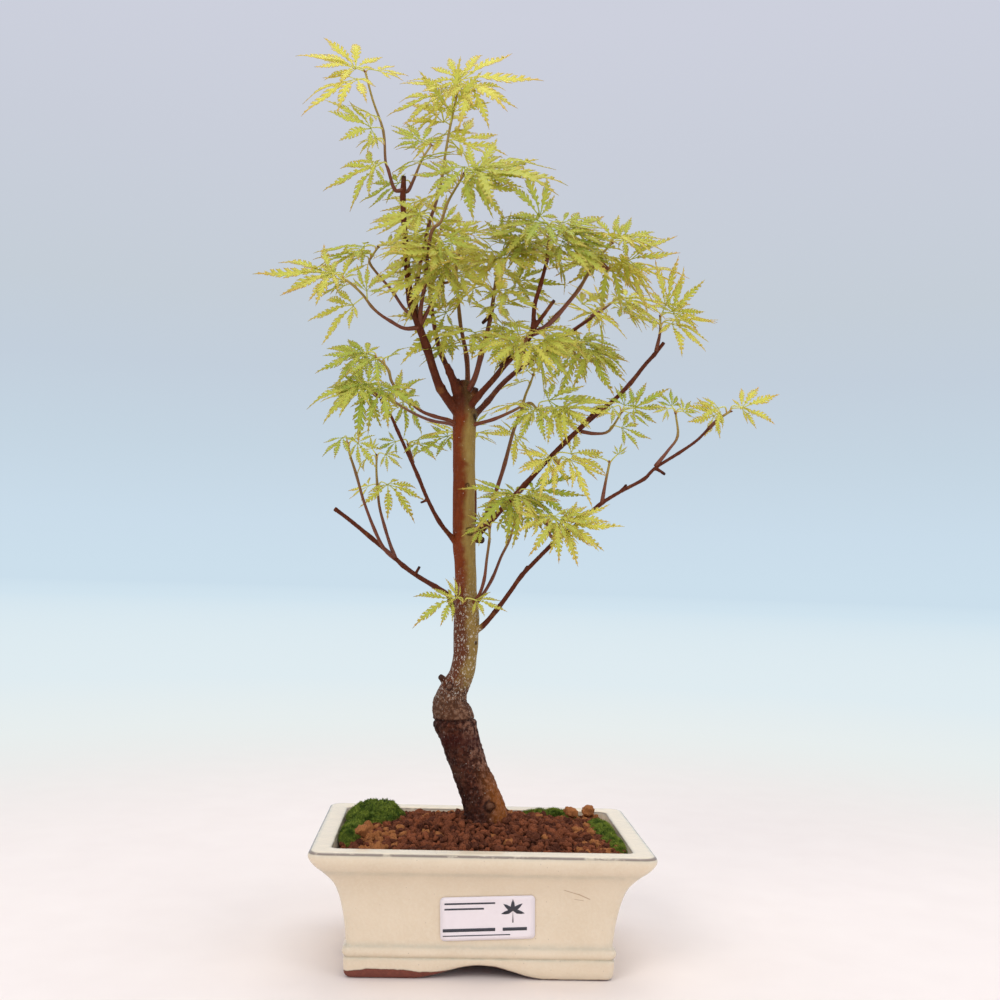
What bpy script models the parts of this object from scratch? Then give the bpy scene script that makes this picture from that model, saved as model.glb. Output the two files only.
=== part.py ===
"""A small Japanese maple bonsai of the cut-leaf kind, planted in a glazed rectangular pot.

Units are metres and +Z is up. The object stands on z = 0, with the pot's long front towards -Y.
The tree's routes are lists of hand-placed points in millimetres, measured from the point on the
ground below the middle of the pot. The whole bonsai hangs on one empty, which puts the origin
below the middle of its bounding box.
"""

import math
import random
from collections import namedtuple

import bmesh
import bpy
from mathutils import Matrix, Vector, noise
from mathutils.bvhtree import BVHTree

MM = 0.001
GAP = 0.35  # clearance between touching pieces

# Pot, in millimetres
RIM_LENGTH, RIM_WIDTH, RIM_HEIGHT = 185.0, 129.0, 69.6
RIM_THICK = 11.9
CORNER_RADIUS = 7.0
CORNER_STEPS = 3
FLOOR_TOP = 13.5
FLOOR_UNDER = 8.5
FOOT_RING = 9.0  # width of the ring that the pot stands on
BASE_INSET = 17.2  # how far the base stands in from the rim
END_FLARE, FLARE_FROM, FLARE_TO = 2.5, 50.0, 66.0  # extra flare of the two ends, and its heights
FRONT_ARCH = (74.0, 8.4)  # width and height of the arch in each long side
END_ARCH = (40.0, 6.0)
DRAIN_HOLE = 15.0
DRAIN_HOLE_X = 34.0
SCREEN_HALF, SCREEN_THICK = 13.0, 1.4
OPENINGS, OPENING, OPENING_PITCH = 4, 3.8, 5.8  # a screen's square openings, along each side
WIRE_RADIUS, WIRE_LEG, WIRE_FOOT = 0.65, 2.9, 12.0  # half the span between its legs, and its feet
SCREEN_POCKET = 14.0  # half the width of the hollow in the soil over a screen

# The pot's outside and inside, from the bottom up: (height, distance in from the rim's edge)
OUTSIDE = [
    (0.0, 19.4), (1.6, 18.0), (5.0, 17.2), (10.3, 17.0), (11.2, 17.7), (12.4, 16.7), (14.4, 16.2),
    (16.3, 16.8), (17.3, 18.0), (19.0, 17.9), (28.0, 17.0), (34.0, 16.1), (41.0, 14.6),
    (47.3, 12.6), (52.8, 9.8), (57.0, 6.6), (60.6, 3.4), (63.4, 1.0), (66.3, 0.0), (68.4, 0.5),
    (RIM_HEIGHT, 2.2),
]
INSIDE = [
    (RIM_HEIGHT, RIM_THICK), (62.4, 13.0), (61.4, 14.4), (50.0, 17.2), (40.0, 20.8), (28.0, 23.2),
    (FLOOR_TOP, 25.0),
]

# Label on the front wall
LABEL_SIZE = (50.7, 24.0)
LABEL_CENTRE = (3.4, 33.4)
LABEL_TILT = math.radians(2.5)
LABEL_THICK = 0.4

# Soil: a mound with its top at the trunk
SOIL_EDGE, SOIL_RISE = 65.0, 10.5
MOUND_CENTRE, MOUND_SPREAD = (4.0, 1.0), (44.0, 28.0)

# Leaves: each lobe's angle from the middle one and its share of the middle one's length
LOBES = [(-88, 0.5), (-42, 0.82), (0, 1.0), (42, 0.82), (88, 0.5)]
NOTCH_SHARE = 0.26
LEAF_THICK = 1.0
LEAF_STALK = 0.55  # radius
LEAF_TRIES = 14
TWIG_TIP_RADIUS = 0.7

Branch = namedtuple("Branch", "start_radius end_radius route")
Shoot = namedtuple("Shoot", "radius twigs leaves")

# The trunk's centre line and its radius at each point, from the soil up
TRUNK = [
    ((4, 2, 55), 15.0), ((4, 2, 61), 21.0), ((4, 2, 67), 17.5), ((3, 2, 73), 13.6),
    ((2.5, 2, 79), 12.0), ((-1, 3, 89), 11.1), ((-5.5, 4, 99), 10.7), ((-10.3, 5, 111), 10.7),
    ((-14, 5, 122), 11.5), ((-17.5, 5, 131), 12.0), ((-20, 4, 140), 9.8), ((-18, 3, 148), 8.6),
    ((-14, 2, 157), 7.3), ((-12, 1, 169), 6.9), ((-12, 0, 181), 7.5), ((-12, 0, 190), 7.6),
    ((-13, 0, 207), 6.4), ((-14, 0, 224), 6.3), ((-15, 0, 236), 6.9), ((-16, 0, 262), 6.5),
    ((-17, 0, 296), 6.8), ((-17, 0, 309), 7.2), ((-18, 0, 319), 5.8), ((-19, 1, 331), 3.6),
]

# Branches grow out of the trunk, in the order in which they are cut back from each other
BRANCHES = {
    "crown_branch_left": Branch(2.9, 1.5, [
        (-17, 0, 309), (-25, -3, 316), (-32, -6, 325), (-36, -8, 334), (-41, -11, 348),
        (-46, -14, 360), (-51, -16, 373), (-53, -17, 386), (-55, -17, 404), (-57, -16, 423),
        (-58, -15, 436), (-58, -14, 445)]),
    "crown_branch_right": Branch(2.1, 1.1, [
        (-17, 0, 307), (-15, -5, 313), (-10, -11, 320), (-1, -18, 330), (7, -24, 340), (13, -28, 345),
        (19, -32, 355), (20, -33, 370), (23, -34, 382), (26, -34, 395)]),
    "crown_branch_back_right": Branch(2.0, 1.2, [
        (-16, 0, 307), (-11, 7, 312), (-3, 17, 322), (7, 28, 336), (24, 40, 353), (34, 47, 361),
        (44, 52, 370), (65, 60, 387)]),
    "crown_branch_back_left": Branch(2.0, 1.1, [
        (-18, 1, 323), (-25, 12, 335), (-33, 26, 353), (-38, 38, 374), (-41, 48, 396), (-41, 56, 417)]),
    "pruned_stub": Branch(2.3, 2.0, [
        (-20, -2, 320), (-24, -7, 328), (-27, -10, 334), (-29, -12, 338)]),
    "middle_branch_right": Branch(1.75, 1.2, [
        (-14, 0, 236), (-7, -5, 240), (2, -10, 250), (10, -13, 259), (19, -14, 269), (30, -14, 282),
        (43, -12, 296), (50, -10, 303), (64, -6, 316), (73, -2, 324), (82, 2, 334), (91, 5, 346),
        (97, 7, 353), (103, 8, 361)]),
    "low_branch_right": Branch(1.5, 0.9, [
        (-12, 0, 180), (-3, -5, 186), (5, -10, 196), (13, -15, 208), (18, -19, 216), (24, -22, 223),
        (37, -26, 237), (49, -28, 247), (61, -28, 258), (73, -26, 266), (87, -22, 274), (94, -20, 281),
        (109, -14, 291), (120, -10, 299), (128, -7, 307)]),
    "low_branch_left": Branch(1.7, 1.3, [
        (-12, 0, 182), (-17, 4, 190), (-21, 9, 199), (-24, 13, 204), (-31, 18, 208), (-42, 24, 214),
        (-51, 28, 220), (-57, 30, 225), (-72, 32, 237), (-85, 33, 247), (-95, 33, 254)]),
    "middle_branch_left": Branch(1.4, 0.85, [
        (-15, 0, 230), (-23, -5, 238), (-30, -12, 246), (-37, -19, 258), (-43, -25, 271),
        (-49, -30, 283), (-55, -35, 295), (-59, -38, 303), (-65, -40, 312)]),
    "middle_branch_back": Branch(1.6, 0.95, [
        (-14, 0, 210), (-12, 10, 219), (-10, 24, 234), (-8, 39, 252), (-8, 52, 269), (-10, 64, 288),
        (-13, 74, 304)]),
}
SHOOTS = {
    "shoot_top_left": Shoot(1.0, [
        [(-58, -15, 440), (-63, -15, 440), (-67, -16, 451), (-69, -16, 457), (-71, -15, 475),
         (-78, -13, 494), (-83, -12, 511)],
    ], [
        ((-83, -12, 513), (-119, -22, 523)), ((-83, -12, 515), (-101, -2, 543)),
        ((-83, -12, 513), (-59, -6, 518)), ((-86, -13, 499), (-118, -28, 481)),
        ((-71, -15, 478), (-88, -32, 478)), ((-67, -16, 466), (-78, -28, 455)),
        ((-67, -16, 450), (-81, -24, 439)),
    ]),
    "shoot_top_inner": Shoot(0.9, [
        [(-58, -14, 439), (-55, -12, 441), (-52, -10, 449), (-48, -8, 461), (-43, -6, 471)],
    ], [
        ((-42, -6, 475), (-61, -16, 484)), ((-43, -6, 471), (-57, 6, 498)),
        ((-47, -8, 463), (-57, -22, 459)),
    ]),
    "shoot_top_middle": Shoot(1.4, [
        [(-46, -14, 360), (-48, -9, 371), (-48, -3, 390), (-45, 3, 413), (-42, 7, 430), (-39, 9, 441),
         (-36, 10, 456), (-34, 8, 474), (-31, 6, 494), (-28, 4, 509)],
    ], [
        ((-27, 4, 517), (19, -8, 518)), ((-28, 4, 517), (-49, 12, 529)),
        ((-35, 5, 512), (-62, -8, 511)), ((-27, 4, 511), (-6, -12, 482)),
        ((-34, 6, 491), (-33, -6, 529)), ((-34, 8, 481), (0, 22, 495)), ((-34, 8, 488), (-46, 24, 523)),
    ]),
    "shoot_top_right": Shoot(1.2, [
        [(-45, -14, 360), (-45, -19, 369), (-43, -25, 382), (-42, -30, 395), (-40, -34, 410),
         (-35, -36, 415), (-32, -37, 425), (-28, -35, 434), (-23, -33, 444)],
    ], [
        ((-22, -33, 446), (38, -48, 449)), ((-22, -33, 447), (18, -22, 470)),
        ((-22, -33, 445), (6, -50, 435)), ((-24, -34, 442), (-21, -48, 410)),
        ((-24, -34, 443), (-38, -50, 448)),
    ]),
    "shoot_far_left": Shoot(1.1, [
        [(-45, -14, 359), (-54, -18, 357), (-62, -22, 360), (-68, -25, 363), (-73, -27, 367),
         (-78, -29, 373), (-85, -30, 379), (-89, -30, 381)],
    ], [
        ((-90, -30, 382), (-134, -40, 385)), ((-89, -30, 382), (-116, -48, 370)),
        ((-85, -30, 381), (-100, -10, 401)), ((-73, -27, 371), (-73, -40, 389)),
        ((-82, -29, 376), (-102, -20, 371)),
    ]),
    "shoot_left_spur": Shoot(1.0, [
        [(-48, -15, 365), (-55, -8, 371), (-63, -3, 383), (-69, 0, 390), (-77, 2, 400), (-76, 4, 405),
         (-73, 6, 411)],
    ], [
        ((-74, 5, 409), (-108, 14, 409)), ((-73, 6, 411), (-59, 16, 425)),
        ((-76, 4, 404), (-87, -12, 393)), ((-69, 1, 390), (-55, 12, 405)),
    ]),
    "shoot_inner_spur": Shoot(1.0, [
        [(-45, -13, 360), (-40, -18, 370), (-35, -21, 378), (-33, -22, 383), (-29, -22, 385),
         (-29, -24, 391), (-31, -27, 397)],
    ], [
        ((-31, -27, 398), (-18, -46, 402)), ((-31, -27, 397), (-41, -40, 404)),
        ((-29, -24, 391), (-39, -42, 377)), ((-27, -22, 386), (-10, -40, 375)),
        ((-28, -22, 385), (-34, -36, 363)),
    ]),
    "shoot_back_upper": Shoot(1.0, [
        [(-41, 57, 418), (-40, 60, 430), (-36, 62, 441)],
    ], [
        ((-36, 62, 441), (-11, 78, 459)), ((-39, 61, 437), (-58, 82, 448)),
        ((-40, 60, 430), (-61, 78, 423)), ((-40, 59, 427), (-21, 82, 422)),
        ((-38, 62, 441), (-37, 66, 468)),
    ]),
    "shoot_centre_back": Shoot(1.7, [
        [(-17, 0, 322), (-16, 5, 332), (-17, 9, 347), (-20, 11, 361), (-22, 12, 372), (-25, 13, 400),
         (-24, 12, 410), (-21, 10, 420)],
    ], [
        ((-21, 10, 421), (-5, -4, 429)), ((-22, 10, 419), (-27, 22, 443)),
        ((-24, 12, 410), (-41, 26, 420)), ((-24, 12, 414), (1, 30, 420)),
        ((-25, 13, 403), (-7, 32, 400)),
    ]),
    "shoot_centre_front": Shoot(1.8, [
        [(-17, 0, 322), (-12, -6, 332), (-9, -11, 344), (-6, -14, 357), (-4, -15, 368), (-2, -15, 386),
         (-1, -15, 394), (0, -18, 401), (4, -20, 408)],
    ], [
        ((4, -20, 409), (22, -38, 411)), ((4, -20, 410), (-1, -30, 427)),
        ((0, -18, 402), (-16, -42, 400)), ((1, -17, 399), (13, -42, 380)),
        ((0, -16, 396), (-12, -40, 370)),
    ]),
    "shoot_right_upper": Shoot(1.0, [
        [(26, -34, 395), (27, -34, 407), (27, -34, 416)],
    ], [
        ((26, -34, 419), (15, -38, 450)), ((28, -34, 418), (55, -42, 419)),
        ((27, -34, 414), (9, -60, 396)), ((27, -34, 408), (43, -58, 395)),
        ((26, -34, 415), (6, -28, 424)),
    ]),
    "shoot_right_outer": Shoot(1.6, [
        [(19, -32, 354), (26, -29, 358), (34, -25, 367), (40, -21, 375), (47, -17, 385),
         (53, -13, 396), (58, -10, 404), (62, -9, 410), (67, -8, 416)],
        [(60, -9, 404), (65, -4, 402), (70, 2, 402)],
    ], [
        ((66, -8, 418), (95, -22, 412)), ((66, -8, 418), (69, 2, 442)), ((68, -8, 418), (92, -2, 434)),
        ((62, -9, 410), (54, 6, 433)), ((60, -9, 407), (40, -26, 409)), ((72, 2, 401), (116, 10, 406)),
        ((70, 2, 400), (85, -8, 375)), ((70, 2, 400), (63, -4, 373)), ((66, -3, 401), (96, 24, 394)),
    ]),
    "shoot_right_back": Shoot(1.0, [
        [(65, 61, 388), (74, 66, 395), (82, 70, 402)],
    ], [
        ((82, 70, 402), (119, 80, 408)), ((80, 69, 399), (100, 90, 387)),
        ((74, 66, 395), (70, 84, 422)), ((68, 62, 389), (79, 84, 371)), ((66, 62, 389), (51, 88, 405)),
    ]),
    "shoot_right_front": Shoot(1.0, [
        [(19, -32, 356), (15, -38, 348), (14, -42, 342)],
    ], [
        ((14, -43, 342), (0, -62, 324)), ((15, -43, 342), (28, -64, 326)),
        ((14, -43, 343), (-7, -60, 343)), ((17, -38, 349), (33, -62, 350)),
        ((13, -42, 346), (5, -58, 357)),
    ]),
    "shoot_right_hanging": Shoot(1.0, [
        [(43, 52, 370), (49, 48, 364), (55, 42, 357)],
    ], [
        ((56, 42, 356), (80, 30, 345)), ((56, 42, 355), (70, 28, 325)), ((54, 43, 355), (51, 52, 328)),
        ((49, 48, 362), (30, 66, 351)), ((50, 48, 366), (79, 60, 370)),
    ]),
    "shoot_branch_end": Shoot(0.9, [
        [(98, 7, 355), (100, 6, 366), (100, 6, 376)],
    ], [
        ((100, 6, 379), (104, 0, 413)), ((100, 6, 378), (121, -6, 397)),
        ((101, 6, 377), (132, 2, 374)), ((99, 6, 372), (86, 22, 390)), ((99, 6, 368), (121, -10, 350)),
        ((98, 6, 371), (82, -14, 374)),
    ]),
    "shoot_left_upper": Shoot(1.2, [
        [(-17, 0, 303), (-26, -6, 306), (-35, -14, 307), (-43, -21, 309), (-52, -29, 315),
         (-59, -35, 322), (-61, -37, 328), (-64, -38, 332), (-68, -38, 335)],
    ], [
        ((-70, -38, 336), (-94, -48, 330)), ((-64, -38, 334), (-53, -52, 342)),
        ((-67, -38, 337), (-83, -26, 351)), ((-63, -38, 331), (-80, -56, 317)),
    ]),
    "shoot_left_lower": Shoot(0.8, [
        [(-65, -40, 313), (-68, -40, 314), (-70, -40, 316)],
    ], [
        ((-70, -40, 316), (-98, -50, 296)), ((-69, -40, 313), (-77, -46, 287)),
        ((-68, -40, 313), (-59, -58, 290)), ((-70, -40, 317), (-93, -34, 322)),
        ((-66, -40, 315), (-49, -54, 316)),
    ]),
    "shoot_left_back": Shoot(1.1, [
        [(-17, 0, 302), (-26, 8, 306), (-37, 19, 309), (-49, 30, 315), (-61, 40, 323), (-68, 47, 329),
         (-75, 52, 333)],
    ], [
        ((-76, 53, 335), (-101, 62, 323)), ((-72, 50, 333), (-91, 64, 354)),
        ((-63, 42, 326), (-57, 60, 350)), ((-60, 41, 322), (-44, 58, 303)),
    ]),
    "shoot_left_inner": Shoot(0.8, [
        [(-46, -28, 278), (-48, -26, 284), (-49, -24, 288)],
    ], [
        ((-49, -24, 288), (-64, -20, 281)), ((-48, -24, 288), (-37, -38, 295)),
        ((-47, -25, 286), (-33, -42, 278)),
    ]),
    "shoot_low_left_long": Shoot(1.1, [
        [(-56, 30, 224), (-63, 26, 230), (-69, 22, 241), (-76, 18, 258), (-81, 15, 274),
         (-85, 14, 285), (-86, 14, 289), (-87, 14, 292)],
    ], [
        ((-87, 14, 292), (-91, 2, 279)), ((-87, 14, 292), (-82, 20, 305)),
        ((-86, 14, 290), (-74, 4, 277)),
    ]),
    "shoot_low_left_short": Shoot(1.1, [
        [(-56, 30, 224), (-60, 36, 233), (-64, 40, 244), (-68, 43, 257), (-70, 45, 271),
         (-71, 46, 281), (-71, 46, 289)],
    ], [
        ((-72, 46, 290), (-75, 50, 302)), ((-71, 46, 288), (-58, 36, 280)),
        ((-71, 46, 286), (-82, 54, 275)), ((-69, 45, 267), (-49, 34, 244)),
        ((-69, 45, 266), (-86, 58, 261)),
    ]),
    "shoot_centre_right": Shoot(1.2, [
        [(-17, 0, 303), (-9, -5, 305), (0, -12, 307), (10, -19, 311), (19, -26, 315), (23, -28, 312),
         (28, -29, 307)],
    ], [
        ((29, -29, 306), (52, -38, 304)), ((28, -29, 305), (36, -40, 288)),
        ((27, -29, 305), (7, -40, 302)), ((27, -29, 306), (18, -36, 289)),
    ]),
    "shoot_middle_low": Shoot(0.9, [
        [(17, -14, 266), (14, -18, 262), (13, -22, 257)],
    ], [
        ((14, -22, 256), (36, -36, 237)), ((13, -22, 255), (16, -34, 233)),
        ((11, -22, 256), (-8, -36, 250)), ((15, -20, 260), (34, -44, 255)),
    ]),
    "shoot_middle_high": Shoot(1.6, [
        [(-14, 0, 236), (-6, 8, 245), (1, 16, 259), (5, 21, 271), (9, 25, 285), (14, 30, 306),
         (19, 33, 320), (21, 36, 329), (24, 38, 337), (26, 40, 343)],
    ], [
        ((26, 40, 344), (44, 50, 338)), ((25, 40, 344), (18, 52, 368)), ((24, 38, 336), (6, 54, 334)),
    ]),
    "shoot_back": Shoot(0.9, [
        [(-13, 74, 304), (-14, 77, 311), (-15, 79, 315)],
    ], [
        ((-15, 80, 317), (2, 88, 333)), ((-16, 80, 317), (-32, 87, 328)),
        ((-14, 76, 308), (9, 86, 305)), ((-14, 76, 308), (-34, 84, 296)),
    ]),
    "shoot_middle_right": Shoot(0.9, [
        [(35, -14, 286), (36, -20, 282), (37, -24, 280)],
    ], [
        ((37, -24, 280), (52, -34, 258)), ((36, -24, 278), (26, -36, 258)),
        ((35, -22, 280), (14, -36, 275)), ((37, -22, 282), (50, -38, 281)),
    ]),
    "shoot_low_right_inner": Shoot(0.9, [
        [(37, -26, 237), (32, -34, 240), (30, -40, 245)],
    ], [
        ((30, -42, 248), (62, -50, 230)), ((31, -42, 249), (55, -54, 250)),
        ((29, -42, 249), (14, -56, 254)), ((29, -41, 246), (35, -50, 222)),
    ]),
    "shoot_low_right_spur": Shoot(0.9, [
        [(62, -28, 258), (64, -28, 271), (66, -28, 282)],
    ], [
        ((66, -28, 284), (69, -32, 294)), ((66, -28, 283), (60, -22, 292)),
    ]),
    "shoot_low_right_end": Shoot(0.9, [
        [(128, -7, 307), (134, -6, 313), (141, -5, 318)],
    ], [
        ((141, -5, 319), (170, -2, 330)), ((142, -5, 318), (156, -14, 313)),
        ((138, -5, 318), (120, -18, 308)), ((134, -6, 315), (130, 6, 331)),
    ]),
    "shoot_low_right_fork": Shoot(0.9, [
        [(94, -20, 282), (102, -17, 292), (108, -14, 301), (107, -12, 314)],
    ], [
        ((107, -12, 318), (93, -22, 313)), ((107, -12, 320), (106, -8, 333)),
        ((108, -12, 318), (118, -2, 327)), ((107, -12, 315), (119, -22, 313)),
    ]),
    "shoot_right_spur": Shoot(0.9, [
        [(51, -10, 302), (60, -10, 301), (68, -10, 303), (75, -10, 314)],
    ], [
        ((77, -10, 318), (97, -14, 333)), ((78, -10, 317), (94, -20, 318)),
        ((74, -10, 314), (62, -20, 305)), ((72, -10, 310), (85, -20, 302)),
        ((77, -10, 317), (80, -4, 335)),
    ]),
    "shoot_trunk_low": Shoot(0.8, [
        [(-13, -3, 199), (-12, -9, 201), (-12, -13, 204), (-13, -16, 206)],
    ], [
        ((-16, -16, 203), (-38, -24, 189)), ((-9, -16, 203), (8, -24, 195)),
        ((-15, -17, 208), (-22, -26, 216)),
    ]),
    "shoot_small_front": Shoot(1.1, [
        [(-12, 0, 195), (-6, -8, 203), (-3, -14, 213), (-2, -18, 225), (-1, -20, 235), (-1, -22, 239),
         (-1, -24, 243)],
    ], [
        ((-2, -24, 244), (-12, -34, 251)), ((-1, -24, 244), (11, -36, 242)),
        ((-1, -22, 239), (-10, -32, 230)),
    ]),
    "shoot_small_back": Shoot(1.1, [
        [(-11, 0, 194), (-4, 8, 202), (3, 14, 214), (8, 18, 227), (13, 20, 238), (17, 21, 253),
         (18, 22, 259), (20, 22, 263)],
    ], [
        ((19, 22, 264), (34, 32, 274)), ((19, 22, 264), (12, 34, 278)), ((19, 22, 260), (32, 36, 250)),
    ]),
}

# Where the bounding box's middle lies from the pot's middle, so that the origin is below it
BOX_MIDDLE = (18.7, 14.7)

# Colours, as linear shares of red, green and blue
CREAM, LABEL_WHITE = (0.82, 0.72, 0.58), (0.85, 0.75, 0.74)
NET_BLACK, WIRE_GREY = (0.03, 0.05, 0.03), (0.45, 0.42, 0.40)
SOIL_BROWN, GRAIN_TAN, MOSS_GREEN = (0.16, 0.06, 0.035), (0.33, 0.14, 0.06), (0.06, 0.16, 0.02)
TRUNK_BROWN, BRANCH_BROWN, LEAF_GREEN = (0.22, 0.10, 0.05), (0.17, 0.06, 0.035), (0.58, 0.62, 0.06)


# ---------------------------------------------------------------- scene and materials


def clear_scene():
    for obj in list(bpy.data.objects):
        bpy.data.objects.remove(obj, do_unlink=True)


def material(name, colour, roughness):
    made = bpy.data.materials.new(name)
    made.use_nodes = True
    shader = made.node_tree.nodes["Principled BSDF"]
    shader.inputs["Base Color"].default_value = (*colour, 1.0)
    shader.inputs["Roughness"].default_value = roughness
    shader.inputs["Metallic"].default_value = 0.0
    made.diffuse_color = (*colour, 1.0)
    return made


def add_object(name, mesh, stand, colour=None, roughness=0.6):
    obj = bpy.data.objects.new(name, mesh)
    bpy.context.scene.collection.objects.link(obj)
    obj.parent = stand
    if colour:
        mesh.materials.clear()
        mesh.materials.append(material(name, colour, roughness))
    return obj


def add_helper(name, mesh, stand):
    """A cutter or a piece to join, which isn't a part of its own."""
    obj = add_object(name, mesh, stand)
    obj.hide_render = True
    obj.display_type = "WIRE"
    return obj


def boolean(obj, other, operation, solver="EXACT"):
    modifier = obj.modifiers.new(f"{operation.lower()} {other.name}", "BOOLEAN")
    modifier.operation = operation
    modifier.solver = solver
    modifier.object = other


def mesh_from(name, bm):
    bmesh.ops.recalc_face_normals(bm, faces=bm.faces)
    mesh = bpy.data.meshes.new(name)
    bm.to_mesh(mesh)
    bm.free()
    return mesh


# ---------------------------------------------------------------- shared shapes


def smooth_route(points, steps):
    """Points along a smooth curve (Catmull-Rom) through the route's own points."""
    points = [Vector(p) for p in points]
    ends = [2 * points[0] - points[1], *points, 2 * points[-1] - points[-2]]
    found = []
    for a, b, c, d in zip(ends, ends[1:], ends[2:], ends[3:]):
        for step in range(steps):
            t = step / steps
            found.append(
                0.5 * ((2 * b) + (c - a) * t + (2 * a - 5 * b + 4 * c - d) * t * t
                       + (3 * b - a - 3 * c + d) * t ** 3)
            )
    return found + [points[-1]]


def tube_mesh(name, points, radii, resolution=1):
    """A closed round tube through points in millimetres, as a curve with a bevel turned to a mesh."""
    curve = bpy.data.curves.new(name, "CURVE")
    curve.dimensions = "3D"
    curve.bevel_depth = MM
    curve.bevel_resolution = resolution
    curve.use_fill_caps = True
    spline = curve.splines.new("POLY")
    spline.points.add(len(points) - 1)
    for spot, point, radius in zip(spline.points, points, radii):
        spot.co = (*(Vector(point) * MM), 1.0)
        spot.radius = radius
    guide = bpy.data.objects.new(name, curve)
    mesh = bpy.data.meshes.new_from_object(guide)
    bpy.data.objects.remove(guide)
    bm = bmesh.new()
    bm.from_mesh(mesh)
    bmesh.ops.remove_doubles(bm, verts=bm.verts, dist=0.01 * MM)
    return mesh_from(name, bm)


def taper(count, start, end):
    return [start + (end - start) * i / (count - 1) for i in range(count)]


def rounded_loop(half_length, half_width, height, radius=CORNER_RADIUS):
    """The corners of a rounded rectangle, anticlockwise from above."""
    loop = []
    for corner, (sx, sy) in enumerate(((1, 1), (-1, 1), (-1, -1), (1, -1))):
        for step in range(CORNER_STEPS + 1):
            turn = math.pi / 2 * (corner + step / CORNER_STEPS)
            x = sx * (half_length - radius) + radius * math.cos(turn)
            y = sy * (half_width - radius) + radius * math.sin(turn)
            loop.append((x, y, height))
    return loop


def loft(name, loops):
    """A solid through loops of equal length, with its two ends capped."""
    bm = bmesh.new()
    rows = [[bm.verts.new(Vector(p) * MM) for p in loop] for loop in loops]
    bm.faces.new(rows[0][::-1])
    bm.faces.new(rows[-1])
    for low, high in zip(rows, rows[1:]):
        for i in range(len(low)):
            j = (i + 1) % len(low)
            bm.faces.new((low[i], low[j], high[j], high[i]))
    return mesh_from(name, bm)


def inset_loop(inset, height):
    """The pot's outline at a height, set in from the rim's edge, with the ends' extra flare."""
    radius = max(CORNER_RADIUS - 0.2 * inset, 3.5)
    below = min(max((FLARE_TO - height) / (FLARE_TO - FLARE_FROM), 0.0), 1.0)
    half_length = RIM_LENGTH / 2 - inset - END_FLARE * below
    return rounded_loop(half_length, RIM_WIDTH / 2 - inset, height, radius)


def read_profile(profile, height):
    """The distance in from the rim's edge at a height, between the profile's points."""
    rows = sorted(profile)
    for (low, low_inset), (high, high_inset) in zip(rows, rows[1:]):
        if low <= height <= high:
            return low_inset + (high_inset - low_inset) * (height - low) / (high - low)
    return rows[0][1] if height < rows[0][0] else rows[-1][1]


def box_mesh(name, low, high):
    bm = bmesh.new()
    bmesh.ops.create_cube(bm, size=1.0)
    size = Vector(high) - Vector(low)
    middle = (Vector(high) + Vector(low)) / 2
    bmesh.ops.transform(
        bm, verts=bm.verts, matrix=Matrix.Translation(middle * MM) @ Matrix.Diagonal((*(size * MM), 1))
    )
    return mesh_from(name, bm)


# ---------------------------------------------------------------- pot and its fittings


def arch_cutter(name, width, height, reach, along_x, stand):
    """A half ellipse standing on the ground, drawn out through both walls."""
    steps = 12
    outline = [(-width / 2, -2.0), (width / 2, -2.0)]
    for step in range(steps + 1):
        turn = math.pi * step / steps
        outline.append((width / 2 * math.cos(turn), height * math.sin(turn)))
    loops = []
    for end in (-reach, reach):
        loops.append([(end, u, z) if along_x else (u, end, z) for u, z in outline])
    return add_helper(name, loft(name, loops), stand)


def build_pot(stand):
    outer = [inset_loop(inset, z) for z, inset in OUTSIDE]
    inner = [inset_loop(inset, z) for z, inset in INSIDE]
    pot = add_object("pot", loft("pot", outer + inner), stand, CREAM, 0.3)
    ring = BASE_INSET + FOOT_RING
    hollow = [inset_loop(ring, z) for z in (-2.0, FLOOR_UNDER)]
    boolean(pot, add_helper("cut_under_floor", loft("cut_under_floor", hollow), stand), "DIFFERENCE")
    width, height = FRONT_ARCH
    cutter = arch_cutter("cut_front_arch", width, height, RIM_WIDTH, False, stand)
    boolean(pot, cutter, "DIFFERENCE")
    width, height = END_ARCH
    cutter = arch_cutter("cut_end_arch", width, height, RIM_LENGTH, True, stand)
    boolean(pot, cutter, "DIFFERENCE")
    for side in (-1, 1):
        bm = bmesh.new()
        bmesh.ops.create_cone(
            bm, cap_ends=True, segments=16, depth=12 * MM,
            radius1=DRAIN_HOLE / 2 * MM, radius2=DRAIN_HOLE / 2 * MM,
            matrix=Matrix.Translation(Vector((side * DRAIN_HOLE_X, 0, FLOOR_TOP - 2.5)) * MM),
        )
        hole = mesh_from(f"cut_drain_{side}", bm)
        boolean(pot, add_helper(hole.name, hole, stand), "DIFFERENCE")
    return pot


def build_label(stand):
    """A thin sticker that follows the front wall."""
    length, height = LABEL_SIZE
    columns, rows = 6, 8
    tilt = Matrix.Rotation(LABEL_TILT, 2)
    loops = []
    for column in range(columns + 1):
        loop = []
        for side in (0, 1):
            for row in range(rows + 1):
                share = row / rows if side == 0 else 1 - row / rows
                spot = tilt @ Vector(((column / columns - 0.5) * length, (share - 0.5) * height))
                x, z = spot.x + LABEL_CENTRE[0], spot.y + LABEL_CENTRE[1]
                wall = RIM_WIDTH / 2 - read_profile(OUTSIDE, z)
                loop.append((x, -(wall + GAP + side * LABEL_THICK), z))
        loops.append(loop)
    add_object("label", loft("label", loops), stand, LABEL_WHITE, 0.45)


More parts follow.
